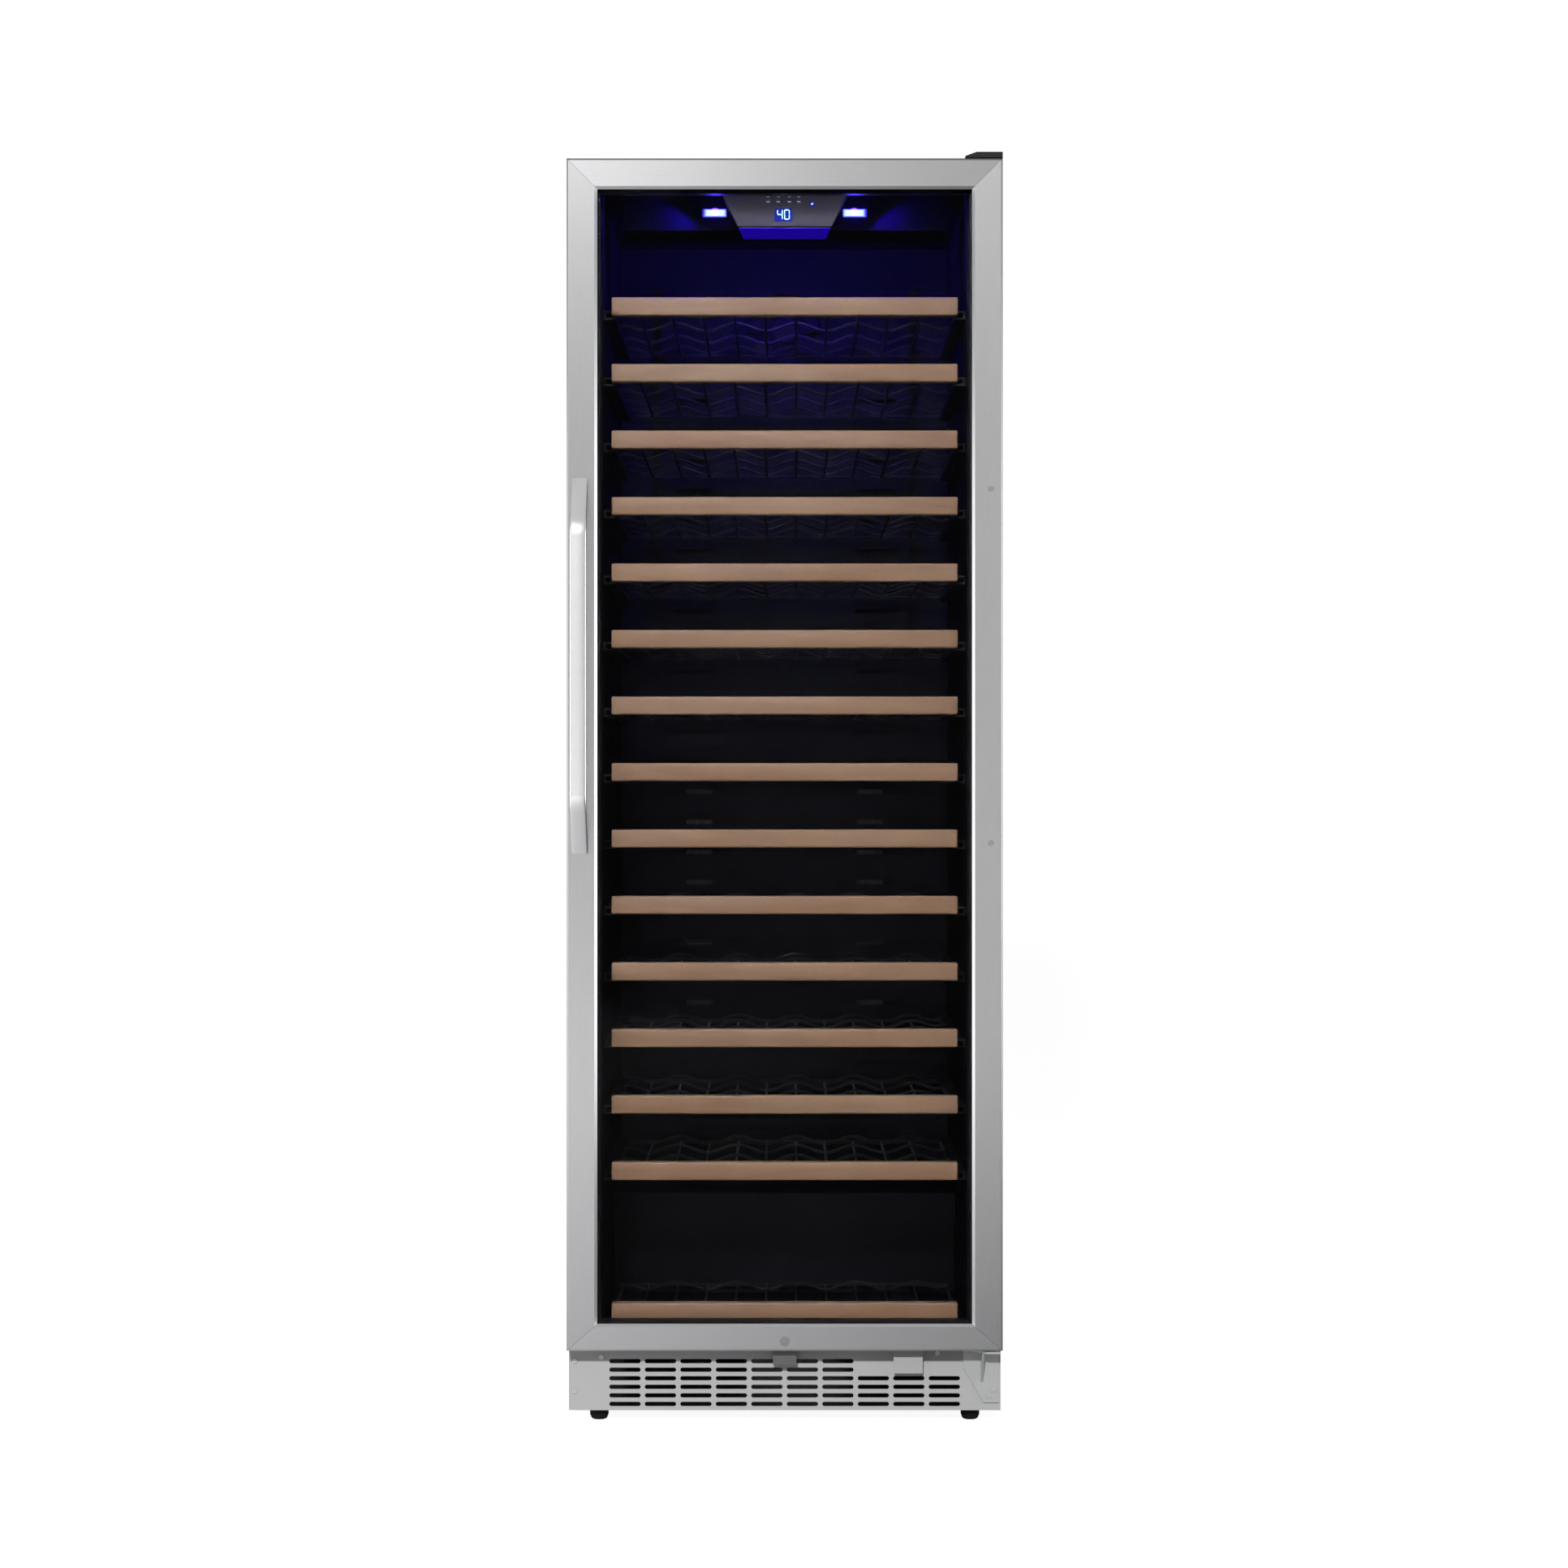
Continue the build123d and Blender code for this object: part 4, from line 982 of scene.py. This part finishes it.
outline = rounded_outline(12.2 * MM, 9.2 * MM, 1.4 * MM)
screen = []
for proud in (-0.78 * MM, -0.55 * MM):
    screen.append([on_face(DISPLAY_X + x, DISPLAY_Z + z, proud) for x, z in outline])
piece("display_screen", closed_tube(np.array(screen)), display_glow, "cabinet")


def tapered_plate(front_y, back_y, front_half, back_half, low_z, high_z, corner, steps=5):
    """Flat plate, narrower at the back: a rounded rectangle whose half width follows its depth."""
    plan = rounded_outline(1.0, 1.0, corner, steps)
    share = (plan[:, 1] + 1) / 2
    x = plan[:, 0] * (front_half * (1 - share) + back_half * share)
    y = front_y * (1 - share) + back_y * share
    rings = [np.column_stack([x, y, np.full(len(x), z)]) for z in (low_z, high_z)]
    return closed_tube(np.array(rings))


pod_base = panel_low[2]
# painted light: a thin glowing plate under the pod stands in for blue lamp light on its underside
painted_light_plate = tapered_plate(
    panel_low[1] + 16.2 * MM, panel_low[1] + 108 * MM, 64 * MM, 58 * MM,
    pod_base - 2.4 * MM, pod_base - 1.6 * MM, 0.06,
)
piece("pod_underside_painted_light", painted_light_plate, pod_painted_light, "cabinet")

LED_AT = on_face(37.9 * MM, 1683 * MM, 0)
led_profile = as_array([(1.6, -0.5), (1.6, 0.1), (1.2, 0.5), (0.5, 0.75)]) * MM
# painted light: a blue ring glows round the LED as its halo
painted_halo_profile = as_array([(4.0, -0.6), (4.0, 0.0), (3.0, 0.2), (1.5, 0.3)]) * MM
painted_halo = lathe(painted_halo_profile, LED_AT, face_out, 24)
piece("panel_led_painted_halo", painted_halo, display_glow, "cabinet")
piece("panel_led", lathe(led_profile, LED_AT, face_out, 20), digit_glow, "cabinet")

# a dash on each button, and a thinner one over it on the panel
MARK_LONG = 5.2 * MM
LABEL_LONG = 4.0 * MM
MARK_THICK = 1.3 * MM
LABEL_THICK = 0.9 * MM
LABEL_RISE = 6.2 * MM


def dash(x, z, length, thick, proud, depth):
    """A level dash on the panel, centred on x."""
    return face_bar(x - length / 2, z, x + length / 2, z, thick, proud, depth)


# the marks and dashes are print with painted light: they glow
labels = []
for button in ("power_button", "light_button", "up_button", "down_button"):
    low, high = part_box(button)
    x, z = (low[0] + high[0]) / 2, (low[2] + high[2]) / 2 - 0.4 * MM
    mark = dash(x, z, MARK_LONG, MARK_THICK, 0.95 * MM, 0.2 * MM)
    piece(f"{button}_mark", mark, print_painted_glow, body_of_node[button], smooth=False)
    labels.append(dash(x, z + LABEL_RISE, LABEL_LONG, LABEL_THICK, 0.1 * MM, 0.4 * MM))
piece("panel_label_dashes", merged(labels), print_painted_glow, "cabinet", smooth=False)


# ---- studio -------------------------------------------------------------------------------
def aim(lamp, place, target):
    """Put a lamp at a place and turn it to look at a target."""
    lamp.location = place
    lamp.rotation_euler = (Vector(target) - Vector(place)).to_track_quat("-Z", "Y").to_euler()
    lamp.visible_camera = False
    bpy.context.scene.collection.objects.link(lamp)


def soft_panel(name, place, target, size, radiance):
    """Rectangular panel lamp of an even radiance: power = pi * area * radiance."""
    data = bpy.data.lights.new(name, "AREA")
    data.shape = "RECTANGLE"
    data.size, data.size_y = size
    data.energy = math.pi * size[0] * size[1] * radiance
    lamp = bpy.data.objects.new(name, data)
    aim(lamp, place, target)
    return lamp


FLOOR_DROP = 0.2 * MM


def make_stage():
    """A pale floor that curves up far behind into a backdrop.

    Painted shade: the paper darkens from left to right, as if lit from the left, which the steel picks up
    as a soft gradient.
    """
    turn = np.linspace(0, np.pi / 2, 24)
    radius = 3.0
    back = 4.0
    y = np.concatenate([[-9.0], back + radius * np.sin(turn), [back + radius]])
    z = np.concatenate([[0.0], radius * (1 - np.cos(turn)), [9.0]]) - FLOOR_DROP
    points = np.array([[(px, py, pz) for px in (-14.0, 14.0)] for py, pz in zip(y, z)])
    mesh = bpy.data.meshes.new("studio_floor")
    mesh.from_pydata(points.reshape(-1, 3).tolist(), [], grid_quads(len(y), 2).tolist())
    mesh.polygons.foreach_set("use_smooth", [True] * len(mesh.polygons))
    material, tree, inputs = new_material("studio_paper")
    fibre = noise(tree, object_place(tree), Scale=3.0)
    paper = mixed(tree, fibre, (0.43, 0.43, 0.43, 1), (0.46, 0.46, 0.46, 1))
    # painted shade: the paper is darker towards the right, as if lit from the left
    across = ranged(tree, split_place(tree)["X"], -0.7, 0.7, 1.4, 0.3, kind="SMOOTHSTEP")
    feed(tree, inputs["Base Color"], scaled(tree, paper, across))
    inputs["Roughness"].default_value = 0.9
    inputs["Emission Color"].default_value = (1, 1, 1, 1)
    # seen straight on the paper is bright white; in reflections it stays a soft grey
    seen = node(tree, "ShaderNodeLightPath").outputs["Is Camera Ray"]
    feed(tree, inputs["Emission Strength"], maths(tree, "MULTIPLY", seen, 0.93))
    mesh.materials.append(material)
    floor = bpy.data.objects.new("studio_floor", mesh)
    bpy.context.scene.collection.objects.link(floor)


def make_room():
    """A soft grey room in reflections, dimmer as fill light, and white past the floor's edge."""
    world = bpy.data.worlds.new("studio")
    bpy.context.scene.world = world
    world.use_nodes = True
    tree = world.node_tree
    sky = tree.nodes["Background"].inputs
    sky["Color"].default_value = (1, 1, 1, 1)
    rays = node(tree, "ShaderNodeLightPath").outputs
    level = ranged(tree, rays["Is Diffuse Ray"], 0, 1, 0.50, 0.24)
    feed(tree, sky["Strength"], ranged(tree, rays["Is Camera Ray"], 0, 1, level, 1.0))


make_stage()
make_room()
bpy.context.scene.view_settings.view_transform = "Standard"

high_panel = soft_panel("high_left_panel", (-1.5, -4.6, 3.4), (0, -0.3, 1.2), (2.8, 1.8), 1.9)
high_panel.visible_diffuse = False
soft_panel("left_panel", (-3.0, -0.9, 0.85), (0, -0.3, 0.85), (2.4, 1.7), 1.8)
soft_panel("right_panel", (3.0, -0.9, 0.95), (0, -0.3, 0.95), (2.4, 1.7), 2.3)
soft_panel("ceiling_panel", (0, 1.6, 4.2), (0, 0.6, 0), (3.0, 2.6), 1.3)
front_lamp = soft_panel("front_lamp", (-0.7, -8.5, 4.0), (0, -0.3, 0.3), (0.4, 0.4), 1800)
front_lamp.visible_glossy = False

BLUE = (0.05, 0.008, 1.0)
for side in (-1, 1):
    halo = bpy.data.lights.new("lens_halo", "POINT")
    halo.energy = 0.25
    halo.color = BLUE
    halo.shadow_soft_size = 5 * MM
    aim(bpy.data.objects.new("lens_halo", halo), (side * lens_x, lens_low[1] - 10 * MM, lens_z), (0, 0, 0))
    wash = soft_panel(
        "side_wash", (side * 0.135, lens_low[1] - 18 * MM, lens_z), (side * 0.26, -0.23, 1.52),
        (0.02, 0.03), 1100,
    )
    wash.data.color = BLUE
    wash.visible_glossy = wash.visible_transmission = False
back_wash = soft_panel("back_wash", (0, -0.09, 1.646), (0, 0.26, 1.60), (0.08, 0.02), 2100)
back_wash.data.color = BLUE
back_wash.visible_glossy = back_wash.visible_transmission = False

CAMERA_DISTANCE = 4.5
camera_data = bpy.data.cameras.new("camera")
camera_data.lens = 75.8
camera_data.sensor_width = 36
camera = bpy.data.objects.new("camera", camera_data)
camera.location = (-0.0009, DOOR_FRONT - CAMERA_DISTANCE, 0.880)
camera.rotation_euler = (math.pi / 2, 0, 0)
bpy.context.scene.collection.objects.link(camera)
bpy.context.scene.camera = camera

bpy.context.view_layer.update()
